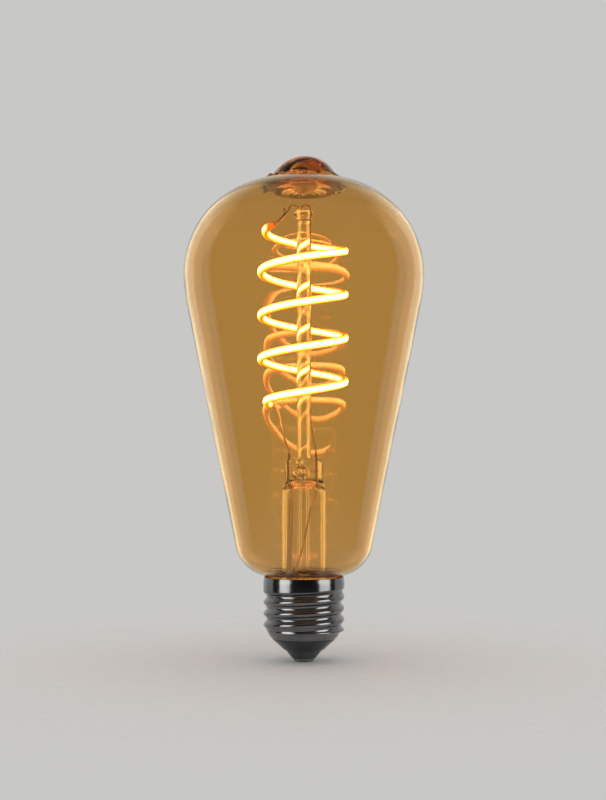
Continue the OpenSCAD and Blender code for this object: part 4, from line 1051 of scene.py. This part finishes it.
def make_floor():
    """Pale floor that takes the lamp's shadow and fades into the backdrop."""
    s = Surface("floor_paper", Roughness=0.9, Specular_IOR_Level=0.15)
    grain = s.noise(0.004, 4.0)
    s.drive(Base_Color=s.colours(grain, [(0.3, (0.565, 0.562, 0.55)), (0.7, (0.595, 0.592, 0.58))]))
    distance = s.node("ShaderNodeVectorMath", Vector=s.place)
    distance.operation = "LENGTH"
    near, far = FLOOR_FADE
    fade = s.node("ShaderNodeMapRange", Value=distance.outputs["Value"], From_Min=near, From_Max=far)
    fade.interpolation_type = "SMOOTHSTEP"
    backdrop = s.node("ShaderNodeBsdfTransparent").outputs[0]
    surface = s.mix(fade.outputs[0], s.shader.outputs[0], backdrop)
    s.tree.links.new(surface, s.output.inputs["Surface"])
    points, faces = turned([(0, 0), (60, 0), (120, 0), (240, 0)], 96)
    stage_sheet("floor", points, faces, s.material)


def make_dark_card():
    """Black card round the camera's side, seen only in reflections, with faded edges."""
    s = Surface("dark_card", Base_Color=(0.01, 0.01, 0.01, 1), Roughness=1.0, Specular_IOR_Level=0.0)
    x, y, z = s.node("ShaderNodeSeparateXYZ", Vector=s.place).outputs
    turned_away = s.math("ARCTAN2", s.math("ABSOLUTE", x), s.math("MULTIPLY", y, -1.0))
    sides = s.span(turned_away, 0.0, 1.0, math.radians(95), math.radians(101))
    top = s.span(z, 0.0, 1.0, 0.9, 1.7)
    foot = s.span(z, 0.0, 1.0, -0.5, -1.0)
    edges = s.math("MAXIMUM", sides, s.math("MAXIMUM", top, foot))
    surface = s.mix(edges, s.shader.outputs[0], s.node("ShaderNodeBsdfTransparent").outputs[0])
    s.tree.links.new(surface, s.output.inputs["Surface"])
    a = np.radians(np.linspace(-192, 12, CARD_COLUMNS + 1))
    row = np.stack([CARD_R * np.cos(a), CARD_R * np.sin(a), np.zeros(len(a))], axis=1)
    rows = [row + [0, 0, CARD_FOOT_Z], row + [0, 0, CARD_TOP_Z]]
    faces = [(j, j + 1, len(a) + j + 1, len(a) + j) for j in range(CARD_COLUMNS)]
    card = stage_sheet("dark_card", np.concatenate(rows), faces, s.material)
    card.visible_camera = card.visible_diffuse = card.visible_transmission = card.visible_shadow = False


def make_softbox(name, azimuth, size, power, receivers):
    """Area lamp for the cap alone; azimuth 0 is the camera's side and 90 is its right."""
    data = bpy.data.lights.new(name, "AREA")
    data.shape = "RECTANGLE"
    data.size, data.size_y = size
    data.energy = power
    box = bpy.data.objects.new(name, data)
    bpy.context.collection.objects.link(box)
    a = math.radians(azimuth)
    box.location = (SOFTBOX_DISTANCE * math.sin(a), -SOFTBOX_DISTANCE * math.cos(a), SOFTBOX_Z)
    box.rotation_euler = (math.pi / 2 - math.atan2(SOFTBOX_Z - CAP_AIM_Z, SOFTBOX_DISTANCE), 0, a)
    box.visible_camera = False
    box.light_linking.receiver_collection = receivers


def make_camera():
    data = bpy.data.cameras.new("camera")
    data.sensor_width = SENSOR
    data.lens = SENSOR * FOCAL_PIXELS / PICTURE_HEIGHT
    data.shift_y = HORIZON_BELOW_MIDDLE / PICTURE_HEIGHT
    data.shift_x = -AXIS_RIGHT_OF_MIDDLE / PICTURE_HEIGHT
    camera = bpy.data.objects.new("camera", data)
    bpy.context.collection.objects.link(camera)
    camera.location = (0, -CAMERA_DISTANCE, CAMERA_Z)
    camera.rotation_euler = (math.pi / 2, 0, 0)
    bpy.context.scene.camera = camera


# Scene

amber = glass("amber_glass", (0.86, 0.63, 0.3), 1.58, (0.8, 0.52, 0.0), 80.0, 1.0, 0.02, 0.00012)
clear = glass("stem_glass", (0.97, 0.96, 0.93), 1.6, (1, 1, 1), 0.0, 1.0, 0.008, 0.00004)
make_envelope(amber)
make_stem(clear)
make_exhaust_tube(clear)
make_rod(clear)
make_filament(
    silicone("phosphor_silicone"),
    metal("filament_strip_copper", (0.35, 0.16, 0.06), (0.6, 0.32, 0.14), 0.4, 0.0004),
    plastic(
        "light_chip", (0.7, 0.6, 0.2), (0.85, 0.75, 0.35), 0.3, 0.0002,
        Emission_Color=(1, 0.75, 0.35, 1), Emission_Strength=8.0,
    ),
)
make_leads(
    metal("lead_nickel_iron", (0.55, 0.42, 0.33), (0.75, 0.62, 0.52), 0.25, 0.0003, (1, 1, 0.1)),
    metal("seal_dumet", (0.26, 0.13, 0.08), (0.42, 0.22, 0.14), 0.4, 0.0003),
    metal("outer_copper", (0.62, 0.44, 0.31), (0.88, 0.68, 0.52), 0.35, 0.0003),
    metal("terminal_steel", (0.5, 0.45, 0.38), (0.72, 0.66, 0.58), 0.3, 0.0003),
    sleeve_cloth("sleeve_glass_fibre"),
)
nickel = metal("nickel_shell", (0.16, 0.16, 0.163), (0.22, 0.22, 0.224), 0.14, 0.0004, (1, 1, 6), 0.000006)
shell = make_shell(nickel)
contact = metal("contact_metal", (0.09, 0.09, 0.089), (0.16, 0.159, 0.156), 0.25, 0.0004)
tinned = metal("tinned_wire", (0.55, 0.54, 0.52), (0.75, 0.74, 0.73), 0.3, 0.0004)
cap_pieces = [shell] + make_cap_foot(
    plastic("black_vitrite", (0.006, 0.006, 0.007), (0.014, 0.014, 0.016), 0.12, 0.002, 0.00002),
    contact,
    metal("contact_solder", (0.16, 0.159, 0.157), (0.26, 0.258, 0.255), 0.32, 0.0006, depth=0.00005),
)
finish_inner_parts({
    "basing_cement": plastic("basing_cement", (0.42, 0.38, 0.32), (0.6, 0.56, 0.5), 0.85, 0.0005, 0.0001),
    "driver_holder": plastic("holder_plastic", (0.72, 0.71, 0.68), (0.8, 0.79, 0.76), 0.4, 0.0006),
    "driver_board": laminate("board_laminate"),
    "bridge_rectifier": plastic("bridge_case", (0.012, 0.012, 0.012), (0.03, 0.03, 0.03), 0.55, 0.0002),
    "driver_chip": plastic("chip_case", (0.014, 0.014, 0.015), (0.034, 0.034, 0.036), 0.5, 0.0002),
    "chip_resistors": plastic("chip_resistor", (0.03, 0.03, 0.035), (0.07, 0.07, 0.08), 0.4, 0.0002),
    "electrolytic_capacitor": plastic(
        "capacitor_sleeve", (0.01, 0.014, 0.04), (0.02, 0.03, 0.07), 0.25, 0.001,
    ),
    "fusible_resistor": plastic("resistor_coat", (0.1, 0.2, 0.28), (0.17, 0.3, 0.38), 0.45, 0.0004),
    "resistor_leads": tinned,
    "shell_wire": tinned,
    "solder_joints": metal("solder", (0.5, 0.5, 0.5), (0.75, 0.75, 0.76), 0.3, 0.0006, depth=0.00004),
})

# The filament lights the lamp alone, so that the floor stays pale
lamp = bpy.data.collections.new("lamp")
for part in [o for o in bpy.context.collection.objects if o.type == "MESH" and o not in cap_pieces]:
    lamp.objects.link(part)
for name in ("filament_outer_silicone", "filament_inner_silicone", "light_chips"):
    bpy.data.objects[name].light_linking.receiver_collection = lamp
make_world()
make_floor()
make_dark_card()
cap = bpy.data.collections.new("cap")
for part in cap_pieces:
    cap.objects.link(part)
make_softbox("softbox_left", -56, (0.5, 0.8), 4.2, cap)
make_softbox("softbox_right", 61, (0.54, 0.8), 4.3, cap)
make_camera()

scene = bpy.context.scene
scene.view_settings.view_transform = "Standard"
scene.cycles.max_bounces = BOUNCES
scene.cycles.transmission_bounces = BOUNCES
scene.cycles.transparent_max_bounces = BOUNCES
